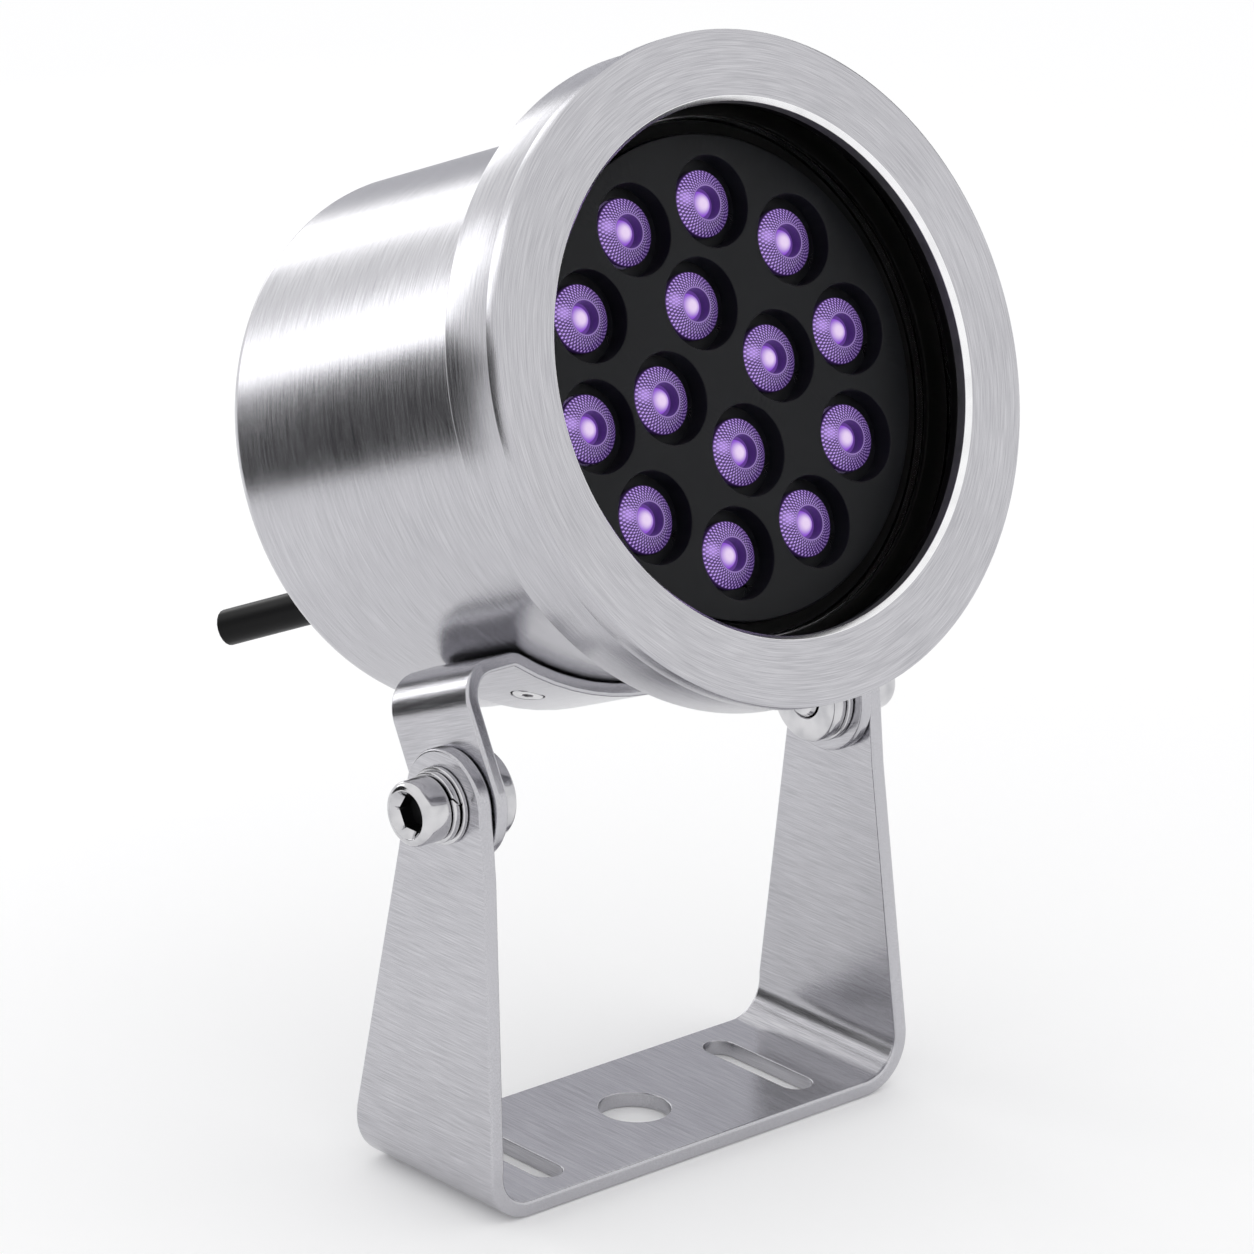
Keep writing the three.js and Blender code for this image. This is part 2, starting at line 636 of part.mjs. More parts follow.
/** The free cable: it runs back from the gland, turns a little to the left and ends in a plain cut. */
function cable() {
  const route = [[0, 148.3, -32], [0, 152, -32], [0, 156, -32], [-0.2, 160, -32], [-0.6, 164, -32.05],
    [-1.2, 168, -32.15], [-1.9, 172, -32.25], [-2.9, 177, -32.4], [-4, 182, -32.55], [-5.2, 187, -32.7],
    [-6.6, 192, -32.85], [-8, 197, -33], [-9.5, 202, -33.15], [-11.1, 207, -33.3], [-12.6, 211.5, -33.45]];
  const path = new THREE.CatmullRomCurve3(route.map(([x, y, z]) => new THREE.Vector3(x, y, z)));
  const section = new THREE.Shape(Array.from({ length: 10 }, (_, i) => {
    const angle = (2 * Math.PI * i) / 10;
    return new THREE.Vector2(CABLE.radius * Math.cos(angle), CABLE.radius * Math.sin(angle));
  }));
  const tube = new THREE.ExtrudeGeometry(section, { steps: 14, bevelEnabled: false, extrudePath: path });
  return piece('cable', solid(tube), RUBBER);
}

// ---------------------------------------------------------------- assembly

function lampHead() {
  const head = new THREE.Group();
  head.position.set(0, -HEAD.pivotDepth, HEAD.pivotDrop);
  head.add(frontRing(), flangeSeal(), ...frontWindow(), housingShell(), ...bezelScrews(), backPlate());
  head.add(lensPanel(), ...lenses(), ledBoard(), heatSpreader(), ...carrierScrews(), ...driver());
  head.add(saddleBracket());
  head.add(piece('saddle_screw_left', saddleScrew(-1), POLISHED));
  head.add(piece('saddle_screw_right', saddleScrew(1), POLISHED));
  head.add(...gland(), cable());
  const tilted = new THREE.Group();
  tilted.position.z = YOKE.pivotHeight;
  tilted.rotation.x = -radians(HEAD.tilt);
  tilted.add(head);
  return tilted;
}

/** The middle of the light from front to back, with the free cable left out. */
function middleY(group) {
  group.updateMatrixWorld(true);
  const box = new THREE.Box3();
  group.traverse((mesh) => {
    if (mesh.isMesh && mesh.name !== 'cable') box.union(new THREE.Box3().setFromObject(mesh, true));
  });
  return (box.min.y + box.max.y) / 2;
}

const light = new THREE.Group();
light.add(yoke(), pivotFasteners(), lampHead());
light.position.y = -middleY(light);

export default light;
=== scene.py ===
"""Underwater pond light: a brushed steel spotlight that tilts in a bent steel yoke.

The lamp shines towards -Y. Pieces of the yoke are drawn in the yoke's own frame, with the
middle of the foot's underside at the origin. Pieces of the lamp head are drawn in the head's
frame: +Y is depth behind the front face of the ring, +Z is up from the lamp axis.
All drawing is in millimetres, and each mesh is put in its place in metres.
"""

import json
import logging
import math
from dataclasses import dataclass, field
from enum import Enum
from typing import Callable, Sequence

import bmesh
import bpy
from mathutils import Matrix, Vector


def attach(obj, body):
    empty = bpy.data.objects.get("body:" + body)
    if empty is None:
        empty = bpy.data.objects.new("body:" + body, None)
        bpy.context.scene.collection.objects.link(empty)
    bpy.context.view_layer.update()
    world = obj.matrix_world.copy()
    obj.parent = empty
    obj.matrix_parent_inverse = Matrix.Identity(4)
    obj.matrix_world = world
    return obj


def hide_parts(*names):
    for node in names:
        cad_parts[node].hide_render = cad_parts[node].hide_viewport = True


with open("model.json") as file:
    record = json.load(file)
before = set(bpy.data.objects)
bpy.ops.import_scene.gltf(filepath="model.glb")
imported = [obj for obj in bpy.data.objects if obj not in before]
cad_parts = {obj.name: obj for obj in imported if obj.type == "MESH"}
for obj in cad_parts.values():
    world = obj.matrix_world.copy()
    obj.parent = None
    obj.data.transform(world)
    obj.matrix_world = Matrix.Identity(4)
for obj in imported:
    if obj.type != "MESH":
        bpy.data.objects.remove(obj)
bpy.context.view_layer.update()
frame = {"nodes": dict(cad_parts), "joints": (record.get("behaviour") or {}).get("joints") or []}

LOG = logging.getLogger("pond_light")

MM = 0.001
TILT = math.radians(23.3)
PIVOT_DEPTH = 74.5
PIVOT_DROP = 82.2
PIVOT = Vector(frame["joints"][0]["pos_m"])
YOKE_BODY = "yoke_frame"
HEAD_BODY = "lamp_head"
LOCAL = "local_mm"

Point = tuple[float, float]
Colour = tuple[float, float, float]


# ---------------------------------------------------------------- places

YOKE_PLACE = Matrix.Translation((0, PIVOT.y, 0)) @ Matrix.Scale(MM, 4)
HEAD_PLACE = (
    Matrix.Translation(PIVOT)
    @ Matrix.Rotation(-TILT, 4, "X")
    @ Matrix.Translation((0, -PIVOT_DEPTH * MM, PIVOT_DROP * MM))
    @ Matrix.Scale(MM, 4)
)
HEAD_ORIGIN = HEAD_PLACE.translation


class Side(Enum):
    """A side of the lamp, as the sign of X."""

    LEFT = -1
    RIGHT = 1

    @property
    def word(self) -> str:
        """The side's name in lower case."""
        return self.name.lower()


def pivot_place(side: Side) -> Matrix:
    """The frame of a pivot stack: +Y runs outwards along the tilt axis."""
    turn = Matrix.Rotation(math.radians(-90 * side.value), 4, "Z")
    return Matrix.Translation(PIVOT) @ turn @ Matrix.Scale(MM, 4)


def head_spot(x: float, depth: float, z: float) -> Matrix:
    """The head's frame moved to a point of the head, in millimetres."""
    return HEAD_PLACE @ Matrix.Translation((x, depth, z))


def on_circle(radius: float, degrees: float) -> Point:
    """The (x, z) of a point on a circle about the lamp axis, angle 0 to the right, 90 up."""
    angle = math.radians(degrees)
    return radius * math.cos(angle), radius * math.sin(angle)


# ---------------------------------------------------------------- shader building


class Wire:
    """A socket's value in a shader, with Python arithmetic that adds Math nodes."""

    def __init__(self, shader: "Shader", socket: bpy.types.NodeSocket) -> None:
        """Wraps one output socket of a shader's node tree."""
        self.shader = shader
        self.socket = socket

    def _math(self, operation: str, *values: "Wire | float") -> "Wire":
        """Adds a Math node on these values."""
        return self.shader.node("ShaderNodeMath", {"operation": operation}, dict(enumerate(values)))

    def __add__(self, other: "Wire | float") -> "Wire":
        """self + other."""
        return self._math("ADD", self, other)

    def __sub__(self, other: "Wire | float") -> "Wire":
        """self - other."""
        return self._math("SUBTRACT", self, other)

    def __rsub__(self, other: float) -> "Wire":
        """other - self."""
        return self._math("SUBTRACT", other, self)

    def __mul__(self, other: "Wire | float") -> "Wire":
        """self * other."""
        return self._math("MULTIPLY", self, other)

    def __truediv__(self, other: "Wire | float") -> "Wire":
        """self / other."""
        return self._math("DIVIDE", self, other)

    __radd__ = __add__
    __rmul__ = __mul__

    def sine(self) -> "Wire":
        """The sine of the value."""
        return self._math("SINE", self)

    def root(self) -> "Wire":
        """The square root of the value."""
        return self._math("SQRT", self)

    def angle_from(self, other: "Wire") -> "Wire":
        """The angle whose tangent is self / other."""
        return self._math("ARCTAN2", self, other)

    def ramp(self, low: float, high: float) -> "Wire":
        """0 below low, 1 above high and smooth between; low may be above high.

        Args:
            low: the value that gives 0.
            high: the value that gives 1.

        Returns:
            The smoothed value.
        """
        settings = {"interpolation_type": "SMOOTHSTEP"}
        return self.shader.node("ShaderNodeMapRange", settings, {0: self, 1: low, 2: high})


class Shader:
    """A material under construction round one Principled shader."""

    def __init__(self, name: str) -> None:
        """Makes an empty material.

        Args:
            name: the material's name.
        """
        self.material = bpy.data.materials.new(name)
        self.material.use_nodes = True
        self.tree = self.material.node_tree
        self.surface = self.tree.nodes["Principled BSDF"]

    def node(self, kind: str, settings: dict, inputs: dict, output: int | str = 0) -> Wire:
        """Adds a node.

        Args:
            kind: the node's type.
            settings: the node's own properties, set first.
            inputs: what goes into its sockets, by name or number.
            output: the socket to return.

        Returns:
            The chosen output.
        """
        made = self.tree.nodes.new(kind)
        for name, value in settings.items():
            setattr(made, name, value)
        for key, value in inputs.items():
            self.feed(made.inputs[key], value)
        return Wire(self, made.outputs[output])

    def feed(self, socket: bpy.types.NodeSocket, value: object) -> None:
        """Links a wire to a socket, or sets the socket's own value.

        Args:
            socket: the socket.
            value: the wire or the plain value.
        """
        if isinstance(value, Wire):
            self.tree.links.new(value.socket, socket)
        else:
            socket.default_value = value

    def set(self, **inputs: object) -> None:
        """Sets or links sockets of the Principled shader; an underscore stands for a space."""
        for name, value in inputs.items():
            self.feed(self.surface.inputs[name.replace("_", " ")], value)

    def place(self, origin: Vector, tilt: float) -> Wire:
        """Object coordinates in a frame of their own.

        Args:
            origin: the frame's origin, in metres.
            tilt: the frame's turn about X.

        Returns:
            The coordinates.
        """
        source = self.node("ShaderNodeTexCoord", {}, {}, "Object")
        inputs = {"Vector": source, "Location": origin, "Rotation": (tilt, 0, 0)}
        return self.node("ShaderNodeMapping", {"vector_type": "TEXTURE"}, inputs)

    def split(self, vector: Wire) -> tuple[Wire, Wire, Wire]:
        """The three numbers of a vector."""
        parts = self.node("ShaderNodeSeparateXYZ", {}, {0: vector}).socket.node.outputs
        return Wire(self, parts[0]), Wire(self, parts[1]), Wire(self, parts[2])

    def join(self, x: Wire | float, y: Wire | float, z: Wire | float) -> Wire:
        """A vector from three numbers."""
        return self.node("ShaderNodeCombineXYZ", {}, {0: x, 1: y, 2: z})

    def noise(self, vector: Wire, scale: float = 1.0, detail: float = 2.0) -> Wire:
        """Noise at that scale, from 0 to 1."""
        return self.node("ShaderNodeTexNoise", {}, {"Vector": vector, "Scale": scale, "Detail": detail})

    def mix(self, amount: Wire, low: Wire | Colour, high: Wire | Colour) -> Wire:
        """A colour between two colours, each a wire or plain.

        Args:
            amount: 0 for the first colour, 1 for the second.
            low: the first colour.
            high: the second colour.

        Returns:
            The mixed colour.
        """
        ends = [end if isinstance(end, Wire) else (*end, 1.0) for end in (low, high)]
        inputs = {"Factor": amount, 6: ends[0], 7: ends[1]}
        return self.node("ShaderNodeMix", {"data_type": "RGBA"}, inputs, 2)

    def bump(self, height: Wire, strength: float, distance: float) -> Wire:
        """A normal from a height."""
        inputs = {"Height": height, "Strength": strength, "Distance": distance}
        return self.node("ShaderNodeBump", {}, inputs, "Normal")


# ---------------------------------------------------------------- finishes


class Grain(Enum):
    """The way in which a steel surface was brushed."""

    ROUND = "round the lamp axis"
    ACROSS = "straight, from front to back"


@dataclass(frozen=True)
class BrushedSteel:
    """Stainless steel with fine brushed lines."""

    name: str
    grain: Grain
    origin: Vector
    tilt: float
    dark: Colour = (0.39, 0.387, 0.413)
    light: Colour = (0.645, 0.64, 0.67)
    roughness: float = 0.22
    relief: float = 0.32
    line: float = 0.00012

    def _grain(self, shader: Shader, width: float, length: float) -> Wire:
        """Noise drawn out along the brushing.

        Args:
            shader: the material under construction.
            width: the width of a line, in metres.
            length: the length of a line, in metres.

        Returns:
            The noise, from 0 to 1.
        """
        x, y, z = shader.split(shader.place(self.origin, self.tilt))
        if self.grain is Grain.ACROSS:
            return shader.noise(shader.join(x / width, y / length, z / width))
        radius = (x * x + z * z).root()
        turns = 0.07 / length
        across = (radius + y) / width
        return shader.noise(shader.join(x / radius * turns, across, z / radius * turns))

    def make(self) -> bpy.types.Material:
        """Builds the finish.

        Returns:
            The finished material.
        """
        shader = Shader(self.name)
        fine = self._grain(shader, self.line, 0.009)
        broad = self._grain(shader, self.line * 3, 0.016)
        cloud = shader.noise(shader.place(self.origin, self.tilt), scale=28.0)
        lines = (fine * 0.8 + broad * 0.2).ramp(0.3, 0.7)
        tone = lines * 0.75 + cloud * 0.25
        shader.set(
            Base_Color=shader.mix(tone, self.dark, self.light),
            Metallic=1.0,
            Roughness=lines * 0.06 + cloud * 0.06 + (self.roughness - 0.06),
            Normal=shader.bump(lines, self.relief, 0.000012),
        )
        return shader.material


@dataclass(frozen=True)
class PolishedSteel:
    """Bright steel with faint turning marks and handling marks."""

    name: str = "polished_steel"
    colour: Colour = (0.66, 0.655, 0.67)
    smudge: Colour = (0.50, 0.50, 0.52)
    roughness: float = 0.11

    def make(self) -> bpy.types.Material:
        """Builds the finish.

        Returns:
            The finished material.
        """
        shader = Shader(self.name)
        place = shader.place(PIVOT, 0.0)
        x, y, z = shader.split(place)
        marks = shader.noise(shader.join(x / 0.0002, y / 0.004, z / 0.004))
        cloud = shader.noise(place, scale=160.0)
        shader.set(
            Base_Color=shader.mix(cloud.ramp(0.35, 0.75), self.colour, self.smudge),
            Metallic=1.0,
            Roughness=cloud * 0.10 + marks * 0.05 + (self.roughness - 0.05),
            Normal=shader.bump(marks, 0.06, 0.00002),
        )
        return shader.material


@dataclass(frozen=True)
class Plain:
    """A moulded, cast or painted surface with a fine grain and a slight change of tone."""

    name: str
    colour: Colour
    other: Colour
    roughness: float
    metallic: float = 0.0
    grain: float = 0.0008
    relief: float = 0.10
    specular: float = 0.5

    def make(self) -> bpy.types.Material:
        """Builds the finish.

        Returns:
            The finished material.
        """
        shader = Shader(self.name)
        place = shader.place(PIVOT, 0.0)
        fine = shader.noise(place, scale=1 / self.grain, detail=3.0)
        cloud = shader.noise(place, scale=40.0)
        shader.set(
            Base_Color=shader.mix(fine * 0.4 + cloud * 0.6, self.colour, self.other),
            Metallic=self.metallic,
            Specular_IOR_Level=self.specular,
            Roughness=fine * 0.10 + cloud * 0.10 + (self.roughness - 0.10),
            Normal=shader.bump(fine, self.relief, 0.00006),
        )
        return shader.material


@dataclass(frozen=True)
class WindowGlass:
    """Coated clear glass that shows hardly any reflection."""

    name: str = "window_glass"

    def make(self) -> bpy.types.Material:
        """Builds the finish.

        Returns:
            The finished material.
        """
        shader = Shader(self.name)
        cloud = shader.noise(shader.place(PIVOT, 0.0), scale=30.0)
        shader.set(
            Base_Color=(0.0, 0.0, 0.0, 1.0),
            Roughness=cloud * 0.04 + 0.02,
            Specular_IOR_Level=0.0,
            Alpha=cloud * 0.02 + 0.04,
        )
        return shader.material


@dataclass(frozen=True)
class LensPlastic:
    """Clear violet-lit lens: staggered pillows round a bore with a glowing dome, and painted light that
    makes it brighter towards the upper left, with a painted highlight spot there.

    Sizes are in millimetres, as the mesh's attribute of local coordinates is.
    """

    name: str = "lens_plastic"
    row: float = 0.62
    around: int = 46
    pillow_from: float = 4.6
    pillow_to: float = 7.8
    dome: float = 3.1
    gap: Colour = (0.022, 0.006, 0.070)
    pillow: Colour = (0.60, 0.38, 1.0)
    wall: Colour = (0.13, 0.05, 0.30)
    core: Colour = (0.90, 0.72, 1.0)
    halo: Colour = (0.28, 0.08, 0.70)

    def make(self) -> bpy.types.Material:
        """Builds the finish.

        Returns:
            The finished material.
        """
        shader = Shader(self.name)
        local = shader.node("ShaderNodeAttribute", {"attribute_name": LOCAL}, {}, "Vector")
        x, _, z = shader.split(local)
        radius = (x * x + z * z).root()
        rows = (radius * (math.pi / self.row)).sine()
        columns = (z.angle_from(x) * float(self.around)).sine()
        dots = (rows * columns).ramp(-0.05, 0.60)
        inner = radius.ramp(self.pillow_from - 0.2, self.pillow_from)
        outer = radius.ramp(self.pillow_to + 0.2, self.pillow_to)
        zone = inner * outer
        # Painted light: side is a painted gradient that lights the pillows more towards the upper left, and
        # spot is a painted highlight at the upper left.
        side = ((z * 0.6 - x) / 16.0 + 0.5).ramp(-0.1, 1.1)
        spot = ((x + 5.6) * (x + 5.6) + (z - 2.2) * (z - 2.2)).root().ramp(2.6, 0.2)
        line = radius.ramp(4.02, 4.12) * radius.ramp(4.5, 4.3)
        bright = dots * zone * (side * 0.65 + 0.40) + line * 0.45 + spot * 0.55 + side * 0.10
        skin = shader.mix(bright, self.gap, self.pillow)
        glow = shader.mix(radius.ramp(self.dome, self.dome * 0.25), self.halo, self.core)
        bore = radius.ramp(4.0, 3.9)
        bored = shader.mix(bore, skin, self.wall)
        colour = shader.mix(radius.ramp(self.dome + 0.1, self.dome - 0.1), bored, glow)
        lit = shader.mix(radius.ramp(8.15, 7.95), (0.006, 0.002, 0.012), colour)
        shader.set(
            Base_Color=(0.010, 0.006, 0.018, 1.0),
            Roughness=0.12,
            Specular_IOR_Level=0.4,
            Emission_Color=lit,
            Emission_Strength=0.95,
            Normal=shader.bump(dots * zone, 0.6, 0.0002),
        )
        return shader.material


Finish = BrushedSteel | PolishedSteel | Plain | WindowGlass | LensPlastic

HEAD_STEEL = BrushedSteel("head_steel", Grain.ROUND, HEAD_ORIGIN, -TILT)
SADDLE_STEEL = BrushedSteel("saddle_steel", Grain.ACROSS, HEAD_ORIGIN, -TILT)
YOKE_STEEL = BrushedSteel("yoke_steel", Grain.ACROSS, PIVOT, 0.0)
BRIGHT_STEEL = PolishedSteel()
# Painted highlight: the chamfer steel is painted near white.
CHAMFER_HIGHLIGHT_STEEL = PolishedSteel("chamfer_painted_highlight", (0.93, 0.93, 0.94), (0.86, 0.86, 0.87), 0.22)
# Painted shade: the bore steel is painted dark grey.
BORE_SHADE_STEEL = PolishedSteel("bore_steel", (0.26, 0.26, 0.265), (0.18, 0.18, 0.185), 0.5)
# Painted shade: the socket steel is painted near black for the inside of the bolt's socket.
SOCKET_SHADE_STEEL = PolishedSteel("socket_steel", (0.045, 0.045, 0.048), (0.02, 0.02, 0.02), 0.35)
RUBBER = Plain("black_rubber", (0.002, 0.002, 0.002), (0.005, 0.005, 0.006), 0.36, specular=0.14)
PANEL_BLACK = Plain(
    "panel_black", (0.005, 0.0055, 0.007), (0.009, 0.0095, 0.012), 0.44,
    grain=0.003, relief=0.01, specular=0.22,
)
WALL_BLACK = Plain("wall_black", (0.001, 0.001, 0.001), (0.002, 0.002, 0.002), 0.5, specular=0.1)
GLASS = WindowGlass()
LENS = LensPlastic()
ALUMINIUM = Plain("milled_aluminium", (0.50, 0.50, 0.52), (0.62, 0.62, 0.64), 0.40, 1.0)
BRASS = Plain("plain_brass", (0.50, 0.36, 0.14), (0.66, 0.50, 0.22), 0.32, 1.0)
COPPER = Plain("enamelled_copper", (0.45, 0.17, 0.07), (0.60, 0.26, 0.12), 0.35, 1.0)
BOARD_GREEN = Plain("board_green", (0.010, 0.09, 0.035), (0.015, 0.13, 0.05), 0.45)
BOARD_WHITE = Plain("board_white", (0.60, 0.60, 0.63), (0.72, 0.72, 0.75), 0.40)
SLEEVE_BLACK = Plain("sleeve_black", (0.02, 0.02, 0.03), (0.04, 0.04, 0.05), 0.35)


class Palette:
    """The materials made so far, one for each finish."""

    def __init__(self) -> None:
        """Starts with no materials."""
        self.made: dict[str, bpy.types.Material] = {}

    def get(self, finish: Finish) -> bpy.types.Material:
        """The material of a finish, made at its first use.

        Args:
            finish: what the surface is.

        Returns:
            The material.
        """
        if finish.name not in self.made:
            self.made[finish.name] = finish.make()
        return self.made[finish.name]


PALETTE = Palette()


# ---------------------------------------------------------------- shapes


def rounded(corners: Sequence[tuple], steps: int = 4, closed: bool = True) -> list[Point]:
    """An outline whose corners are rounded.

    Args:
        corners: (a, b) or (a, b, radius) for each corner.
        steps: the steps in each rounding.
        closed: whether the last corner joins the first.

    Returns:
        The points of the outline.
    """
    points: list[Point] = []
    count = len(corners)
    for i, corner in enumerate(corners):
        here = Vector(corner[:2])
        radius = corner[2] if len(corner) > 2 else 0.0
        if radius == 0.0 or (not closed and i in (0, count - 1)):
            points.append(tuple(here))
            continue
        before = (Vector(corners[i - 1][:2]) - here).normalized()
        after = (Vector(corners[(i + 1) % count][:2]) - here).normalized()
        half = before.angle(after) / 2
        reach = radius / math.tan(half)
        centre = here + (before + after).normalized() * (radius / math.sin(half))
        start = here + before * reach - centre
        end = here + after * reach - centre
        sweep = start.angle_signed(end)
        for k in range(steps + 1):
            turn = Matrix.Rotation(-sweep * k / steps, 2)
            points.append(tuple(centre + turn @ start))
    return points


class Work:
    """A mesh being made, in millimetres."""

    def __init__(self) -> None:
        """Starts with nothing."""
        self.mesh = bmesh.new()

    def outline(self, points: Sequence[Vector | tuple], closed: bool = True) -> list[bmesh.types.BMEdge]:
        """Adds points joined by edges.

        Args:
            points: the places of the points.
            closed: whether the last joins the first.

        Returns:
            The new edges.
        """
        verts = [self.mesh.verts.new(point) for point in points]
        pairs = list(zip(verts, verts[1:]))
        if closed:
            pairs.append((verts[-1], verts[0]))
        return [self.mesh.edges.new(pair) for pair in pairs]

    def turn(self, profile: Sequence[Point], closed: bool = True, steps: int = 96) -> "Work":
        """Turns a profile of (radius, depth) points about the Y axis.

        Args:
            profile: the points; an open profile starts and ends on the axis.
            closed: whether the profile closes on itself.
            steps: the steps of the whole turn.

        Returns:
            This work.
        """
        edges = self.outline([(radius, depth, 0.0) for radius, depth in profile], closed)
        bmesh.ops.spin(
            self.mesh, geom=self.mesh.verts[:] + edges, cent=(0, 0, 0), axis=(0, 1, 0), angle=math.tau,
            steps=steps, use_merge=True,
        )
        return self.clean()

    def clean(self) -> "Work":
        """Merges doubles and points the faces outwards.

        Returns:
            This work.
        """
        bmesh.ops.remove_doubles(self.mesh, verts=self.mesh.verts[:], dist=1e-4)
        bmesh.ops.recalc_face_normals(self.mesh, faces=self.mesh.faces[:])
        return self

    def reshape(self, change: Callable[[Vector], Vector]) -> "Work":
        """Moves each point.

        Args:
            change: gives a point's new place from its old one.

        Returns:
            This work.
        """
        for vert in self.mesh.verts:
            vert.co = change(vert.co)
        return self

    def paint(self, index: int, low: Point, high: Point) -> "Work":
        """Gives the faces of a zone about the Y axis another of the piece's finishes.

        Args:
            index: the number of the finish; the main one is 0.
            low: the zone's smallest radius and depth.
            high: the zone's largest radius and depth.

        Returns:
            This work.
        """
        for face in self.mesh.faces:
            middle = face.calc_center_median()
            radius = math.hypot(middle.x, middle.z)
            if low[0] < radius < high[0] and low[1] < middle.y < high[1]:
                face.material_index = index
        return self

    def piece(self, name: str, place: Matrix, *finishes: Finish, flat: bool = False) -> bpy.types.Object:
        """Ends the work as an object at the origin, with its place in its mesh.

        Args:
            name: the piece's name.
            place: the frame that the work was drawn in.
            finishes: what its surface is, the main finish first.
            flat: whether large faces keep their own normals.

        Returns:
            The object.
        """
        data = bpy.data.meshes.new(name)
        self.mesh.to_mesh(data)
        self.mesh.free()
        data.transform(place)
        data.polygons.foreach_set("use_smooth", [True] * len(data.polygons))
        data.set_sharp_from_angle(angle=math.radians(38))
        for finish in finishes:
            data.materials.append(PALETTE.get(finish))
        made = bpy.data.objects.new(name, data)
        bpy.context.scene.collection.objects.link(made)
        if flat:
            shading = made.modifiers.new("flat_faces", "WEIGHTED_NORMAL")
            shading.keep_sharp = True
        return made


def hexagon_reach(point: Vector, flats: float) -> float:
    """The distance from the Y axis to the side of a hexagon, in a point's direction."""
    turn = math.atan2(point.z, point.x) % (math.pi / 3) - math.pi / 6
    return flats / 2 / math.cos(turn)


def hexagon_clip(flats: float, low: float, high: float) -> Callable[[Vector], Vector]:
    """A change that clips a turned piece to a hexagon between two depths.

    Args:
        flats: the width across flats.
        low: the depth where the hexagon starts.
        high: the depth where it ends.

    Returns:
        The change, for Work.reshape.
    """
    def change(point: Vector) -> Vector:
        """Clips one point.

        Args:
            point: the point on the round piece.

        Returns:
            The point on or inside the hexagon.
        """
        radius = math.hypot(point.x, point.z)
        if radius < 1e-6 or not low <= point.y <= high:
            return point
        scale = min(1.0, hexagon_reach(point, flats) / radius)
        return Vector((point.x * scale, point.y, point.z * scale))

    return change


def socket_clip(flats: float, radius: float) -> Callable[[Vector], Vector]:
    """A change that makes a round wall a hexagon socket.

    Args:
        flats: the width across flats.
        radius: the radius of the wall.

    Returns:
        The change, for Work.reshape.
    """
    def change(point: Vector) -> Vector:
        """Moves one point of the wall, and leaves every other.

        Args:
            point: the point on the turned piece.

        Returns:
            The point on the hexagon.
        """
        reach = math.hypot(point.x, point.z)
        if abs(reach - radius) > 0.01:
            return point
        scale = hexagon_reach(point, flats) / reach
        return Vector((point.x * scale, point.y, point.z * scale))

    return change


def fit(piece: bpy.types.Object, body: str, slot: str, *nodes: str) -> bpy.types.Object:
    """Puts a piece on its body in place of its CAD nodes, and reports it.

    Args:
        piece: the finished piece.
        body: the body that it rides on.
        slot: the record's material slot; not used.
        nodes: the CAD nodes that it stands for.

    Returns:
        The piece.
    """
    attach(piece, body)
    if nodes:
        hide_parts(*nodes)
    LOG.info("%s stands for %s", piece.name, ", ".join(nodes) or "itself")
    return piece


# ---------------------------------------------------------------- bent sheet


@dataclass(frozen=True)
class Stretch:
    """A straight or evenly bent stretch of a sheet's middle line."""

    length: float
    turn: float = 0.0

    @classmethod
    def bend(cls, radius: float, degrees: float) -> "Stretch":
        """A bend of that middle radius; a positive angle turns towards the sheet's inner side."""
        turn = math.radians(degrees)
        return cls(radius * abs(turn), turn)


@dataclass
class Strip:
    """The middle line of half a strip, from its middle outwards, in the XZ plane."""

    height: float
    stretches: list[Stretch]

    def at(self, run: float) -> tuple[float, float, float]:
        """Follows the line.

        Args:
            run: the distance along the line.

        Returns:
            The x, z and heading there.
        """
        x, z, heading = 0.0, self.height, 0.0
        for stretch in self.stretches:
            part = min(run, stretch.length)
            if stretch.turn:
                radius = stretch.length / stretch.turn
                swept = part / radius
                x += radius * (math.sin(heading + swept) - math.sin(heading))
                z -= radius * (math.cos(heading + swept) - math.cos(heading))
                heading += swept
            else:
                x += part * math.cos(heading)
                z += part * math.sin(heading)
            run -= part
            if run <= 0:
                break
        return x, z, heading

    def run_to(self, height: float) -> float:
        """Finds a height on the last stretch.

        Args:
            height: the height.

        Returns:
            The distance along the line.
        """
        whole = sum(stretch.length for stretch in self.stretches)
        _, z, heading = self.at(whole)
        return whole + (height - z) / math.sin(heading)

    def stations(self, step: float = math.radians(5)) -> list[float]:
        """Divides the bends.

        Args:
            step: the largest angle between two divisions.

        Returns:
            The distances at which the sheet is divided so that its bends are smooth.
        """
        places, run = [], 0.0
        for stretch in self.stretches:
            count = max(1, math.ceil(abs(stretch.turn) / step))
            if stretch.turn:
                places += [run + stretch.length * k / count for k in range(count + 1)]
            run += stretch.length
        return places

    def bent(self, point: Vector) -> Vector:
        """Bends one point of the flat blank.

        Args:
            point: x along the strip, y across it, z off its middle.

        Returns:
            The point's place on the bent sheet.
        """
        x, z, heading = self.at(abs(point.x))
        x -= point.z * math.sin(heading)
        z += point.z * math.cos(heading)
        return Vector((math.copysign(x, point.x), point.y, z))


Loop = Callable[[float], list[Point]]


def slot_loop(run: float, radius: float, length: float, steps: int = 16) -> Loop:
    """The loop of a slot with round ends that is long across the strip.

    Args:
        run: the slot's distance along the strip.
        radius: the radius of its ends.
        length: the distance between the centres of its ends.
        steps: the steps round each end.

    Returns:
        The loop, by how far it has grown.
    """
    def loop(grow: float) -> list[Point]:
        """The slot's outline.

        Args:
            grow: how far it is opened all round.

        Returns:
            The points.
        """
        half = length / 2
        points = []
        for end in (1, -1):
            for k in range(steps + 1):
                angle = math.pi * (k / steps) + (0 if end > 0 else math.pi)
                reach = radius + grow
                points.append((run + reach * math.cos(angle), end * half + reach * math.sin(angle)))
        return points

    return loop


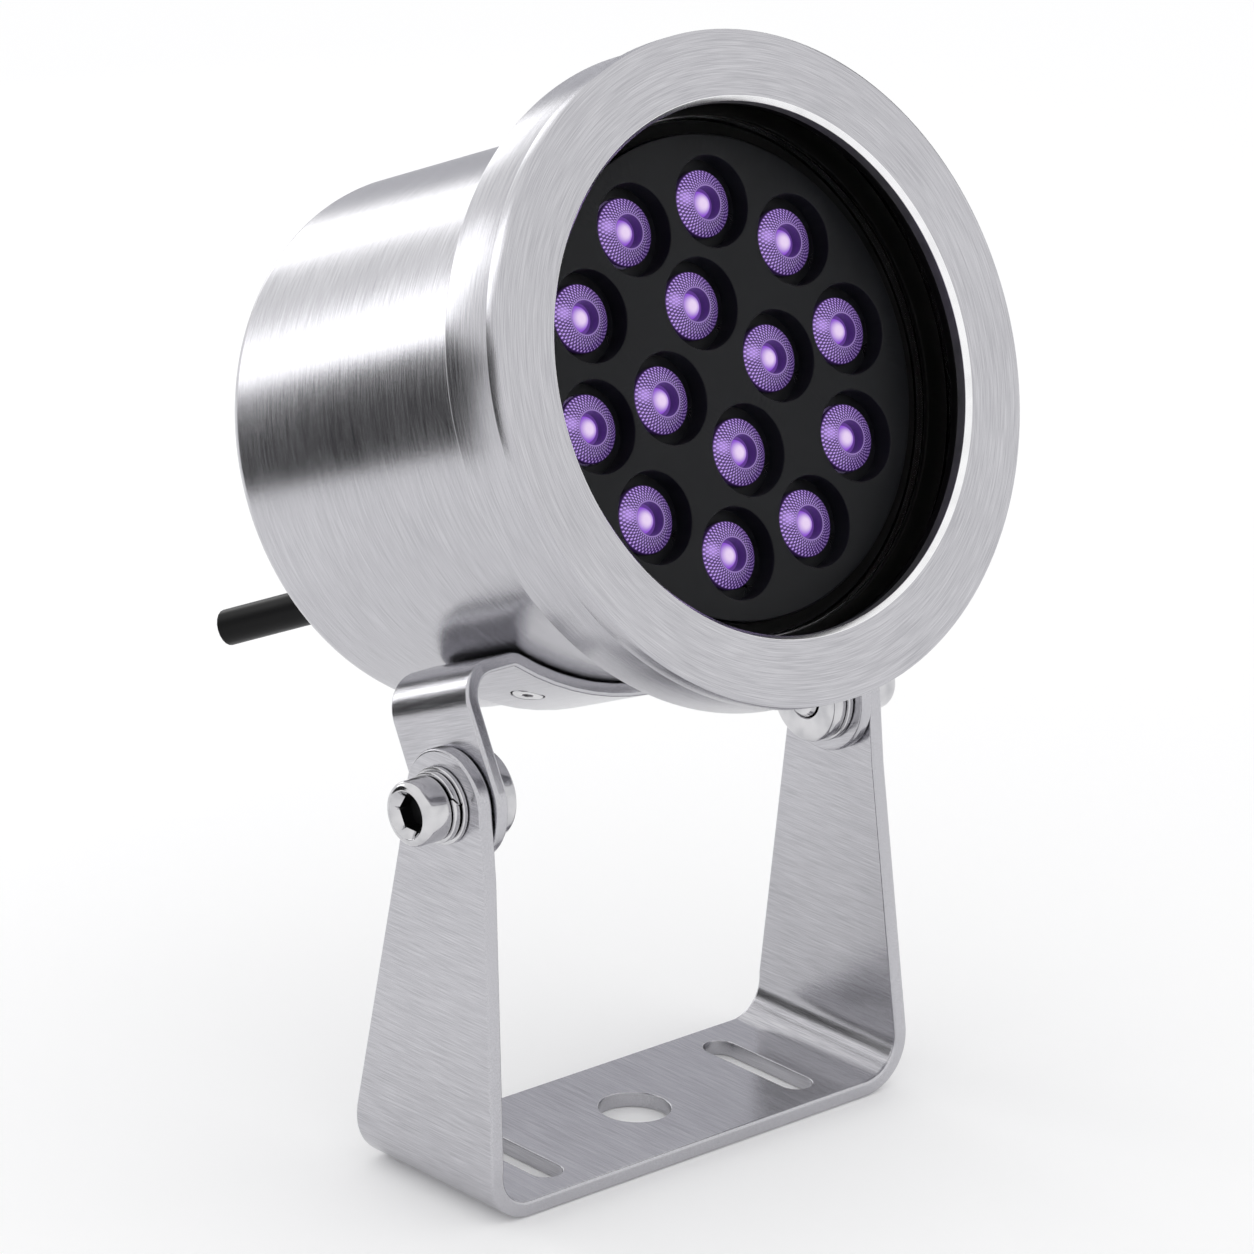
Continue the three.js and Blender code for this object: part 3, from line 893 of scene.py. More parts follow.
def hole_loop(run: float, radius: float, steps: int = 48, across: float = 0.0) -> Loop:
    """The loop of a round hole.

    Args:
        run: the hole's distance along the strip.
        radius: its radius.
        steps: the steps round it.
        across: its distance across the strip.

    Returns:
        The loop, by how far it has grown.
    """
    def loop(grow: float) -> list[Point]:
        """The hole's outline.

        Args:
            grow: how far it is opened all round.

        Returns:
            The points.
        """
        reach = radius + grow
        angles = (math.tau * k / steps for k in range(steps))
        return [(run + reach * math.cos(a), across + reach * math.sin(a)) for a in angles]

    return loop


@dataclass
class Sheet:
    """A flat blank with rounded edges and holes, bent along a strip."""

    strip: Strip
    thickness: float
    rim: Loop
    rim_round: float
    holes: list[Loop]
    hole_round: float = 0.3

    def _wall(self, work: Work, loop: Loop, edge: float, sign: int) -> tuple[list, list]:
        """Adds the wall of one loop, with its edges rounded off.

        Args:
            work: the blank.
            loop: the outline, by how far it has grown.
            edge: the radius of its edges.
            sign: -1 where rounding shrinks the loop, 1 where it opens it.

        Returns:
            The edges of the wall's top and of its bottom.
        """
        steps = 4
        half = self.thickness / 2
        rows = []
        for k in range(steps + 1):
            angle = math.pi / 2 * k / steps
            rows.append((edge * (1 - math.sin(angle)), half - edge * (1 - math.cos(angle))))
        rows += [(grow, -height) for grow, height in reversed(rows)]
        loops = [
            work.outline([(x, y, height) for x, y in loop(sign * grow)]) for grow, height in rows
        ]
        for upper, lower in zip(loops, loops[1:]):
            bmesh.ops.bridge_loops(work.mesh, edges=upper + lower)
        return loops[0], loops[-1]

    def make(self) -> Work:
        """Cuts the blank out and bends it.

        Returns:
            The work, ready to end as a piece.
        """
        work = Work()
        walls = [self._wall(work, self.rim, self.rim_round, -1)]
        walls += [self._wall(work, hole, self.hole_round, 1) for hole in self.holes]
        for level in (0, 1):
            edges = [edge for wall in walls for edge in wall[level]]
            bmesh.ops.triangle_fill(work.mesh, edges=edges, use_beauty=True)
        for station in self.strip.stations():
            for sign in (-1, 1):
                everything = work.mesh.verts[:] + work.mesh.edges[:] + work.mesh.faces[:]
                bmesh.ops.bisect_plane(
                    work.mesh, geom=everything, dist=1e-4, plane_co=(sign * station, 0, 0),
                    plane_no=(1, 0, 0),
                )
        work.clean()
        return work.reshape(self.strip.bent)


# ---------------------------------------------------------------- yoke


@dataclass
class Yoke:
    """The bent steel yoke that the lamp tilts in."""

    sheet: float = 4.0
    depth: float = 50.0
    foot_half: float = 69.5
    top_half: float = 66.0
    bend: float = 11.0
    plumb_from: float = 84.0
    foot_top: float = 15.0
    top_radius: float = 13.5
    pivot_hole: float = 5.5
    centre_hole: float = 9.0
    slot_length: float = 36.0
    slot_width: float = 8.6
    slot_spacing: float = 84.0
    pivot_height: float = PIVOT.z / MM
    kink_radius: float = 4.0
    edge: float = 0.8

    def strip(self) -> Strip:
        """Draws the sheet from the side.

        Returns:
            The middle line from the middle of the foot to the top of an arm.
        """
        half = self.sheet / 2
        lean = math.atan2(self.foot_half - self.top_half, self.plumb_from - self.bend)
        arm = (self.plumb_from - self.bend - half) / math.cos(lean)
        top = self.pivot_height + self.top_radius - self.plumb_from
        return Strip(half, [
            Stretch(self.foot_half - half - self.bend),
            Stretch.bend(self.bend, 90 + math.degrees(lean)),
            Stretch(arm),
            Stretch.bend(self.kink_radius, -math.degrees(lean)),
            Stretch(top),
        ])

    def rim(self, foot: float, pivot: float) -> Loop:
        """The blank's outline: a wide foot, tapering arms and round tops.

        Args:
            foot: the distance along the strip where the taper starts.
            pivot: the distance to the pivot hole.

        Returns:
            The loop, by how far it has grown.
        """
        def loop(grow: float) -> list[Point]:
            """The outline.

            Args:
                grow: how far it is pushed out all round.

            Returns:
                The points.
            """
            half = self.depth / 2 + grow
            radius = self.top_radius + grow
            reach = math.hypot(pivot - foot, half)
            start = math.pi - math.atan2(half, pivot - foot) - math.acos(radius / reach)
            steps = 32
            right = [(foot, -half)]
            for k in range(steps + 1):
                angle = -start + 2 * start * k / steps
                right.append((pivot + radius * math.cos(angle), radius * math.sin(angle)))
            right.append((foot, half))
            return right + [(-x, -y) for x, y in right]

        return loop

    def build(self) -> None:
        """Makes the yoke."""
        strip = self.strip()
        pivot = strip.run_to(self.pivot_height)
        bent = strip.stretches[0].length + strip.stretches[1].length
        rise = self.foot_top - strip.at(bent)[1]
        foot = bent + rise
        slot_half = self.slot_spacing / 2
        straight = self.slot_length - self.slot_width
        sheet = Sheet(
            strip, self.sheet, self.rim(foot, pivot), self.edge,
            [
                hole_loop(0, self.centre_hole, 64),
                slot_loop(slot_half, self.slot_width / 2, straight),
                slot_loop(-slot_half, self.slot_width / 2, straight),
                hole_loop(pivot, self.pivot_hole),
                hole_loop(-pivot, self.pivot_hole),
            ],
        )
        piece = sheet.make().piece("yoke_sheet", YOKE_PLACE, YOKE_STEEL, flat=True)
        fit(piece, YOKE_BODY, "brushed_steel", "yoke")


@dataclass
class PivotStack:
    """The screw, washers and nut on one side's pivot, from the arm outwards and the ear inwards."""

    side: Side
    arm: float = 66.0
    ear: float = 58.2
    gap: float = 0.3
    flat_washer: float = 1.2
    spring_washer: float = 1.9
    head: float = 7.5
    inner_washer: float = 1.6
    nut: float = 3.6
    nut_radius: float = 11.4
    hole: float = 5.4
    thread_hole: float = 5.3
    proud: float = 1.0

    def _fit(self, work: Work, node: str, *more: Finish) -> None:
        """Ends one fastener.

        Args:
            work: the fastener's mesh.
            node: its node's name without the side.
            more: the finishes after bright steel.
        """
        name = f"{node}_{self.side.word}"
        piece = work.piece(f"{name}_steel", pivot_place(self.side), BRIGHT_STEEL, *more)
        fit(piece, YOKE_BODY, "polished_steel", name)

    def _ring(self, inner: float, outer: float, start: float, end: float, edge: float) -> Work:
        """A washer with softened edges."""
        corners = ((inner, start), (outer, start), (outer, end), (inner, end))
        return Work().turn(rounded([(*corner, edge) for corner in corners], 3))

    def _bolt(self, start: float, tip: float) -> Work:
        """A cap screw with a rounded head and a bevelled hexagon socket.

        Args:
            start: the depth of the head's underside.
            tip: the depth of the screw's end.

        Returns:
            The work, with painted shade in the socket as its second finish.
        """
        end = start + self.head
        profile = rounded([
            (0, tip), (4.2, tip), (4.9, tip + 0.8), (4.9, start), (8.0, start, 0.4), (8.0, end, 2.0),
            (5.9, end, 0.4), (4.7, end - 1.9), (4.7, end - 5.2), (0, end - 5.4),
        ], 6, closed=False)
        # The socket's faces get the second finish, which is painted shade.
        work = Work().turn(profile, closed=False).paint(1, (0.0, end - 5.6), (4.72, end - 1.95))
        return work.reshape(socket_clip(8.0, 4.7))

    def _split_ring(self, start: float) -> Work:
        """A spring washer: nearly a full turn of a square section, rising a little.

        Args:
            start: the depth of its inner face.

        Returns:
            The work.
        """
        end = start + self.spring_washer - 0.25
        work = Work()
        section = rounded([(5.3, start, 0.25), (8.7, start, 0.25), (8.7, end, 0.25), (5.3, end, 0.25)], 3)
        edges = work.outline([(radius, depth, 0.0) for radius, depth in section])
        face = bmesh.ops.contextual_create(work.mesh, geom=edges)["faces"]
        opening = math.radians(5)
        slant = math.radians(8)
        turn = Matrix.Rotation(math.radians(200), 3, "Y")
        steps = 84
        bmesh.ops.spin(
            work.mesh, geom=face + edges + work.mesh.verts[:], cent=(0, 0, 0), axis=(0, 1, 0),
            dvec=(0, 0.25 / steps, 0), angle=math.tau - opening, steps=steps,
        )
        bmesh.ops.rotate(work.mesh, verts=work.mesh.verts[:], cent=(0, 0, 0), matrix=turn)
        work.reshape(lambda point: Matrix.Rotation((point.y - start) * slant, 3, "Y") @ point)
        return work.clean()

    def _nut(self, start: float, end: float) -> Work:
        """A low round nut.

        Args:
            start: the depth of its inner face.
            end: the depth of its outer face.

        Returns:
            The work.
        """
        hole, radius = self.thread_hole, self.nut_radius
        return Work().turn(rounded([
            (hole, start, 0.3), (radius, start, 0.9), (radius, end, 0.4), (hole, end, 0.3)], 4))

    def build(self) -> None:
        """Makes the stack."""
        washer = self.arm + self.gap
        spring = washer + self.flat_washer + self.gap
        head = spring + self.spring_washer + self.gap
        inner = self.ear - self.gap
        nut = inner - self.inner_washer - self.gap
        self._fit(self._ring(self.hole, 9.5, washer, washer + self.flat_washer, 0.25), "outer_washer")
        self._fit(self._split_ring(spring), "spring_washer")
        self._fit(self._bolt(head, nut - self.nut - self.proud), "pivot_bolt", SOCKET_SHADE_STEEL)
        self._fit(self._ring(self.hole, 12.0, inner - self.inner_washer, inner, 0.35), "inner_washer")
        self._fit(self._nut(nut - self.nut, nut), "pivot_nut")


# ---------------------------------------------------------------- saddle


@dataclass
class Saddle:
    """The strap under the body, with two ears on the pivots."""

    sheet: float = 3.5
    width: float = 30.0
    body: float = 66.5
    gap: float = 0.3
    set_back: float = 2.8
    apex_height: float = -51.2
    apex_radius: float = 4.0
    ear_face: float = 61.7
    ear_bend: float = 8.4
    end_radius: float = 15.0
    pivot_hole: float = 5.3
    screw_angle: float = 26.0
    screw_hole: float = 4.1
    screw_depth: float = 1.6
    edge: float = 0.9

    def strip(self) -> Strip:
        """Draws the sheet from the front.

        Returns:
            The middle line from under the body, out over the flange and down the ear.
        """
        middle = self.body + self.gap + self.sheet / 2
        top = self.apex_height - self.sheet / 2
        away = math.acos((self.apex_radius - top) / (middle + self.apex_radius))
        start = (middle + self.apex_radius) * math.sin(away)
        flange = self.ear_face - self.sheet / 2 - self.ear_bend - start
        ear = PIVOT_DROP + self.end_radius + top - self.ear_bend
        return Strip(-middle, [
            Stretch.bend(middle, math.degrees(away)),
            Stretch.bend(self.apex_radius, -math.degrees(away)),
            Stretch(flange),
            Stretch.bend(self.ear_bend, -90),
            Stretch(ear),
        ])

    def rim(self, shoulder: float, pivot: float) -> Loop:
        """The blank's outline: ears that lean to round ends about the pivots.

        Args:
            shoulder: the distance along the strip where the ears start to lean.
            pivot: the distance to the pivot hole.

        Returns:
            The loop, by how far it has grown.
        """
        def loop(grow: float) -> list[Point]:
            """The outline.

            Args:
                grow: how far it is pushed out all round.

            Returns:
                The points.
            """
            radius = self.end_radius + grow
            half = self.width / 2 + grow
            steps = 32
            angles = [math.pi * (k / steps - 0.5) for k in range(steps + 1)]
            arc = [(pivot + radius * math.cos(a), radius * math.sin(a) - self.set_back) for a in angles]
            right = [(shoulder, -half), *arc, (shoulder, half)]
            return right + [(-x, y) for x, y in reversed(right)]

        return loop

    def build(self) -> None:
        """Makes the strap and its two screws."""
        strip = self.strip()
        pivot = strip.run_to(-PIVOT_DROP)
        screw = strip.stretches[0].length * self.screw_angle / math.degrees(strip.stretches[0].turn)
        shoulder = strip.run_to(self.apex_height)
        holes = (
            (pivot, self.pivot_hole, -self.set_back),
            (-pivot, self.pivot_hole, -self.set_back),
            (screw, self.screw_hole, 0),
            (-screw, self.screw_hole, 0),
        )
        loops = [hole_loop(run, radius, 32, across) for run, radius, across in holes]
        sheet = Sheet(strip, self.sheet, self.rim(shoulder, pivot), self.edge, loops)
        place = head_spot(0, PIVOT_DEPTH + self.set_back, 0)
        piece = sheet.make().piece("saddle_strap", place, SADDLE_STEEL, flat=True)
        fit(piece, HEAD_BODY, "brushed_steel", "saddle_bracket")
        for side in Side:
            self._screw(side)

    def _screw(self, side: Side) -> None:
        """Makes the button screw that holds the strap to the body on one side.

        Args:
            side: the side.
        """
        seat = self.body + 2 * self.gap + self.sheet - self.screw_depth
        tip = self.body - 3.5
        head = self.screw_hole - self.gap
        profile = rounded([
            (0, tip), (2, tip), (2, seat), (head, seat, 0.2), (head, seat + 1.3, 0.4), (1.55, seat + 1.3),
            (1.45, seat + 1.2), (1.45, seat + 0.3), (0, seat + 0.3),
        ], 4, closed=False)
        work = Work().turn(profile, closed=False, steps=48).reshape(socket_clip(2.6, 1.45))
        down = Matrix.Rotation(math.radians(-90), 4, "X")
        aside = Matrix.Rotation(math.radians(-side.value * self.screw_angle), 4, "Y")
        place = head_spot(0, PIVOT_DEPTH + self.set_back, 0) @ aside @ down
        node = f"saddle_screw_{side.word}"
        fit(work.piece(f"{node}_steel", place, BRIGHT_STEEL), HEAD_BODY, "polished_steel", node)


# ---------------------------------------------------------------- body and window


@dataclass
class Housing:
    """The flanged body shell, the front ring, the window with its seals, and the back plate."""

    ring_outer: float = 80.0
    opening: float = 63.0
    flange: float = 79.0
    flange_front: float = 5.6
    flange_back: float = 21.6
    body: float = 66.5
    back: float = 122.6
    pocket: float = 68.5
    screw_circle: float = 74.3
    screw_recess: float = 3.8
    screw_recess_depth: float = 3.0
    screw_count: int = 6
    screw_head: float = 2.7
    gap: float = 0.3

    def _turned(self, name: str, profile: list[Point], finish: Finish, slot: str, node: str,
                closed: bool = True) -> None:
        """Makes one turned piece on the lamp axis."""
        piece = Work().turn(profile, closed, steps=160).piece(name, HEAD_PLACE, finish)
        fit(piece, HEAD_BODY, slot, node)

    def _ring(self) -> None:
        """Makes the front ring, with a painted highlight on the chamfer round its opening and painted shade
        in its bore.
        """
        opening, outer = self.opening, self.ring_outer
        work = Work().turn(rounded([
            (opening + 1.1, 0, 0.3), (outer, 0, 0.8), (outer, 5, 0.3), (self.pocket, 5), (self.pocket, 4),
            (opening, 4), (opening, 1.3, 0.3)]), steps=160)
        # The chamfer gets the painted highlight.
        work.paint(1, (opening + 0.05, -1), (opening + 1.15, 1.4))
        # The bore gets the painted shade.
        work.paint(2, (opening - 0.05, 1.4), (opening + 0.05, 4))
        piece = work.piece("ring_turned", HEAD_PLACE, HEAD_STEEL, CHAMFER_HIGHLIGHT_STEEL, BORE_SHADE_STEEL)
        fit(piece, HEAD_BODY, "brushed_steel", "front_ring")

    def _shell(self) -> None:
        """Makes the body shell."""
        front, back, inside = self.flange_front, self.flange_back, self.body - 2.5
        work = Work().turn(rounded([
            (self.pocket, front), (69.3, front), (69.3, front + 1.8), (71.7, front + 1.8), (71.7, front),
            (self.flange, front, 0.5), (self.flange, back, 0.8), (self.body, back, 0.5),
            (self.body, self.back, 4.0), (58.0, self.back, 0.3), (58.0, 119.6), (53.0, 119.6),
            (53.0, 117.1), (inside, 117.1), (inside, 19.3), (61.8, 19.3), (61.8, 15.3), (self.pocket, 15.3),
        ], 6), steps=192)
        piece = work.piece("shell_turned", HEAD_PLACE, HEAD_STEEL)
        self._bore(piece)
        fit(piece, HEAD_BODY, "brushed_steel", "housing_shell")

    def _screw_spots(self) -> list[Matrix]:
        """The places of the screws round the flange.

        Returns:
            A frame on each screw's own axis.
        """
        step = 360 / self.screw_count
        spots = [on_circle(self.screw_circle, 30 + step * i) for i in range(self.screw_count)]
        return [head_spot(x, 0, z) for x, z in spots]

    def _bore(self, shell: bpy.types.Object) -> None:
        """Sinks the recesses for the screw heads into the back of the flange.

        Args:
            shell: the turned shell.
        """
        floor = self.flange_back - self.screw_recess_depth
        above = self.flange_back + 2
        profile = [(0, floor), (self.screw_recess, floor), (self.screw_recess, above), (0, above)]
        for place in self._screw_spots():
            tool = Work().turn(profile, closed=False, steps=32).piece("recess_tool", place, HEAD_STEEL)
            cut = shell.modifiers.new("recess", "BOOLEAN")
            cut.operation = "DIFFERENCE"
            cut.object = tool
            bpy.context.view_layer.update()
            seen = shell.evaluated_get(bpy.context.evaluated_depsgraph_get())
            data = bpy.data.meshes.new_from_object(seen)
            shell.modifiers.clear()
            shell.data = data
            bpy.data.objects.remove(tool, do_unlink=True)

    def _window(self) -> None:
        """Makes the glass and the three seals."""
        pane = rounded([(0, 7.2), (68.0, 7.2, 0.5), (68.0, 13.2, 0.5), (0, 13.2)], 3, False)
        self._turned("window_pane", pane, GLASS, "window_glass", "front_glass", closed=False)
        inner = self.opening + 0.3
        gasket = rounded([(inner, 4.3, 0.4), (68.2, 4.3, 0.4), (68.2, 6.9, 0.4), (inner, 6.9, 0.4)], 3)
        self._turned("window_gasket", gasket, WALL_BLACK, "rubber", "front_gasket")
        seat = rounded([(62.0, 13.5, 0.3), (68.2, 13.5, 0.3), (68.2, 15.0, 0.3), (62.0, 15.0, 0.3)], 3)
        self._turned("window_seat_gasket", seat, WALL_BLACK, "rubber", "seat_gasket")
        angles = [math.tau * k / 16 for k in range(16)]
        circle = [(70.5 + 0.9 * math.cos(a), 6.25 + 0.9 * math.sin(a)) for a in angles]
        self._turned("flange_seal_ring", circle, RUBBER, "rubber", "flange_seal")

    def _back_plate(self) -> None:
        """Makes the plate that closes the back, round the cable gland."""
        disc = rounded([(0, 119.9), (57.7, 119.9), (57.7, self.back, 0.3), (0, self.back)], 3, False)
        self._turned("back_disc", disc, HEAD_STEEL, "brushed_steel", "back_plate", closed=False)

    def _screws(self) -> None:
        """Makes the socket screws behind the flange."""
        start = self.flange_back - self.screw_recess_depth + self.gap
        end = start + self.screw_head
        profile = rounded([
            (0, 2.3), (2, 2.3), (2, start), (3.3, start, 0.2), (3.3, end, 0.4), (1.9, end, 0.1),
            (1.7, end - 0.3), (1.7, end - 1.6), (0, end - 1.7),
        ], 4, closed=False)
        for i, place in enumerate(self._screw_spots()):
            work = Work().turn(profile, closed=False, steps=48).reshape(socket_clip(3.0, 1.7))
            node = f"bezel_screw_{i + 1:02d}"
            piece = work.piece(f"{node}_steel", place, BRIGHT_STEEL)
            fit(piece, HEAD_BODY, "polished_steel", node)

    def build(self) -> None:
        """Makes the body."""
        self._ring()
        self._shell()
        self._window()
        self._back_plate()
        self._screws()


# ---------------------------------------------------------------- optics


@dataclass
class Optics:
    """The black panel with fourteen lenses."""

    face: float = 15.6
    face_radius: float = 58.0
    shelf: float = 17.8
    panel: float = 61.4
    panel_back: float = 24.6
    recess: float = 11.0
    recess_floor: float = 21.0
    throat: float = 8.4
    turn: float = 5.6
    outer_circle: float = 41.8
    outer_count: int = 10
    inner_circle: float = 18.1
    inner_count: int = 4

    def places(self) -> list[Point]:
        """The places of the lenses: a circle of ten round a circle of four.

        Returns:
            The (x, z) of each lens.
        """
        spots = []
        for radius, count in ((self.outer_circle, self.outer_count), (self.inner_circle, self.inner_count)):
            spots += [on_circle(radius, self.turn + 360 / count * i) for i in range(count)]
        return spots

    def _wall(self, work: Work, middle: Point, rows: list[Point], steps: int) -> tuple[list, list]:
        """Adds a round wall parallel to the lamp axis, open at both ends.

        Args:
            work: the panel.
            middle: the (x, z) of the wall's own axis.
            rows: the (radius, depth) of each of its loops.
            steps: the steps round it.

        Returns:
            The edges of its first loop and of its last.
        """
        x, z = middle
        angles = [math.tau * k / steps for k in range(steps)]
        loops = [
            work.outline([(x + radius * math.cos(a), depth, z + radius * math.sin(a)) for a in angles])
            for radius, depth in rows
        ]
        for one, two in zip(loops, loops[1:]):
            bmesh.ops.bridge_loops(work.mesh, edges=one + two)
        return loops[0], loops[-1]

    def _panel(self) -> None:
        """Makes the panel: a disc whose recesses have soft edges and open throats."""
        work = Work()
        soft = ((0.5, self.face), (0.15, self.face + 0.15), (0.0, self.face + 0.5))
        rim = [(self.face_radius - shrink, depth) for shrink, depth in soft]
        rim += [(self.face_radius, self.shelf), (self.panel, self.shelf), (self.panel, self.panel_back)]
        top, bottom = self._wall(work, (0.0, 0.0), rim, 160)
        recess = [(self.recess + grow, depth) for grow, depth in soft]
        recess += [(self.recess, self.recess_floor), (self.throat, self.recess_floor),
                   (self.throat, self.panel_back)]
        for middle in self.places():
            upper, lower = self._wall(work, middle, recess, 48)
            top += upper
            bottom += lower
        for edges in (top, bottom):
            bmesh.ops.triangle_fill(work.mesh, edges=edges, use_beauty=True)
        work.clean().paint(1, (self.face_radius + 0.1, 0), (self.panel + 1, 30))
        piece = work.piece("lens_panel_black", HEAD_PLACE, PANEL_BLACK, WALL_BLACK, flat=True)
        fit(piece, HEAD_BODY, "black_plastic", "lens_panel")

    def _lenses(self) -> None:
        """Makes the lenses, each with a bore and a dome of light in it."""
        crown = [(4.0 + 4.1 * k / 8, 17.5 + 1.9 * (k / 8) ** 2.2) for k in range(9)]
        dome = [(3.0 * math.sin(math.pi / 2 * k / 6), 20.6 - 1.9 * math.cos(math.pi / 2 * k / 6))
                for k in range(7)]
        profile = [*dome, (4.0, 20.6), *crown, (8.1, 20.5), (4.6, 24.6), (3.0, 24.6), (3.0, 22.2), (0, 22.2)]
        for i, (x, z) in enumerate(self.places()):
            work = Work().turn(profile, closed=False, steps=64)
            local = [vert.co.copy() for vert in work.mesh.verts]
            node = f"lens_{i + 1:02d}"
            piece = work.piece(f"{node}_clear", head_spot(x, 0, z), LENS)
            store = piece.data.attributes.new(LOCAL, "FLOAT_VECTOR", "POINT")
            store.data.foreach_set("vector", [value for point in local for value in point])
            fit(piece, HEAD_BODY, "lens_clear", node)

    def build(self) -> None:
        """Makes the panel and the lenses."""
        self._panel()
        self._lenses()


# ---------------------------------------------------------------- gland and cable


@dataclass
class CableEntry:
    """The gland in the back plate, and the free cable."""

    drop: float = -32.0
    start: float = 122.9
    exit: float = 148.3
    flats: float = 22.0
    cable: float = 4.7

    def _turned(self, name: str, work: Work, finish: Finish, slot: str, node: str) -> None:
        """Ends one piece on the gland's axis."""
        fit(work.piece(name, head_spot(0, 0, self.drop), finish), HEAD_BODY, slot, node)

    def build(self) -> None:
        """Makes the gland's body, lock nut, seal and cap."""
        start = self.start
        body = rounded([
            (5.2, 112), (7.9, 112, 0.3), (7.9, start), (10.8, start), (12.7, start + 1.0),
            (12.7, start + 5.2), (11.2, start + 6), (9.0, start + 6), (9.0, start + 12, 0.3),
            (5.2, start + 12),
        ], 4)
        work = Work().turn(body).reshape(hexagon_clip(self.flats, start - 0.1, start + 6.1))
        self._turned("gland_body_steel", work, BRIGHT_STEEL, "polished_steel", "gland_body")
        lock = [(8.2, 116.2), (10.8, 116.2), (12.7, 117.0), (12.7, 118.9), (10.8, 119.5), (8.2, 119.5)]
        work = Work().turn(lock).reshape(hexagon_clip(self.flats, 116.0, 119.7))
        self._turned("gland_lock_nut_steel", work, BRIGHT_STEEL, "polished_steel", "gland_lock_nut")
        work = Work().turn(rounded([
            (5.0, start + 12.3, 0.3), (8.6, start + 12.3, 0.3), (8.6, start + 18), (5.0, start + 18)], 3))
        self._turned("gland_seal_ring", work, RUBBER, "rubber", "gland_seal")
        cap = start + 6.3
        mouth = self.exit - 0.3
        shell = rounded([
            (9.3, cap), (11.4, cap, 0.3), (12.7, cap + 1.0), (12.7, cap + 8.4), (11.4, cap + 9.2),
            (11.2, cap + 12.5, 3.0), (8.2, cap + 17.6, 3.0), (6.8, mouth, 0.8), (5.2, mouth, 0.5),
            (5.2, start + 18.3), (9.3, start + 18.3),
        ], 5)
        work = Work().turn(shell).reshape(hexagon_clip(self.flats, cap - 0.1, cap + 9.3))
        self._turned("gland_cap_steel", work, BRIGHT_STEEL, "polished_steel", "gland_cap")

    def build_cable(self) -> None:
        """Lays the free cable: straight back out of the gland, a little to the left, then a plain cut."""
        route = [(0, 148.3, -32), (0, 152, -32), (0, 156, -32), (-0.2, 160, -32), (-0.6, 164, -32.05),
                 (-1.2, 168, -32.15), (-1.9, 172, -32.25), (-2.9, 177, -32.4), (-4, 182, -32.55),
                 (-5.2, 187, -32.7), (-6.6, 192, -32.85), (-8, 197, -33), (-9.5, 202, -33.15),
                 (-11.1, 207, -33.3), (-12.6, 211.5, -33.45)]
        points = [HEAD_PLACE @ Vector(point) for point in route]
        curve = bpy.data.curves.new("cable_sheath", "CURVE")
        curve.dimensions = "3D"
        curve.bevel_depth = self.cable * MM
        curve.bevel_resolution = 8
        curve.resolution_u = 12
        curve.use_fill_caps = True
        spline = curve.splines.new("BEZIER")
        spline.bezier_points.add(len(points) - 1)
        for knot, point in zip(spline.bezier_points, points):
            knot.co = point
            knot.handle_left_type = knot.handle_right_type = "AUTO"
        curve.materials.append(PALETTE.get(RUBBER))
        sheath = bpy.data.objects.new("cable_sheath", curve)
        bpy.context.scene.collection.objects.link(sheath)
        fit(sheath, HEAD_BODY, "rubber", "cable")
        length = sum((b - a).length for a, b in zip(points, points[1:]))
        tuple(points[0])


# ---------------------------------------------------------------- pieces kept from the frame


@dataclass
class Innards:
    """The sealed pieces, which keep their shape and get their finish."""

    finishes: dict[str, Finish] = field(default_factory=lambda: {
        "led_board": BOARD_WHITE,
        "heat_spreader": ALUMINIUM,
        "carrier_screw_1": BRIGHT_STEEL,
        "carrier_screw_2": BRIGHT_STEEL,
        "carrier_screw_3": BRIGHT_STEEL,
        "standoff_1": BRASS,
        "standoff_2": BRASS,
        "standoff_3": BRASS,
        "driver_board": BOARD_GREEN,
        "driver_inductor": COPPER,
        "driver_capacitor": SLEEVE_BLACK,
        "cable_inner": RUBBER,
    })

    def dress(self) -> None:
        """Gives each piece its material."""
        for node, finish in self.finishes.items():
            kept = frame["nodes"][node]
            kept.data.materials.clear()
            kept.data.materials.append(PALETTE.get(finish))
            LOG.info("%s dressed", node)


# ---------------------------------------------------------------- studio


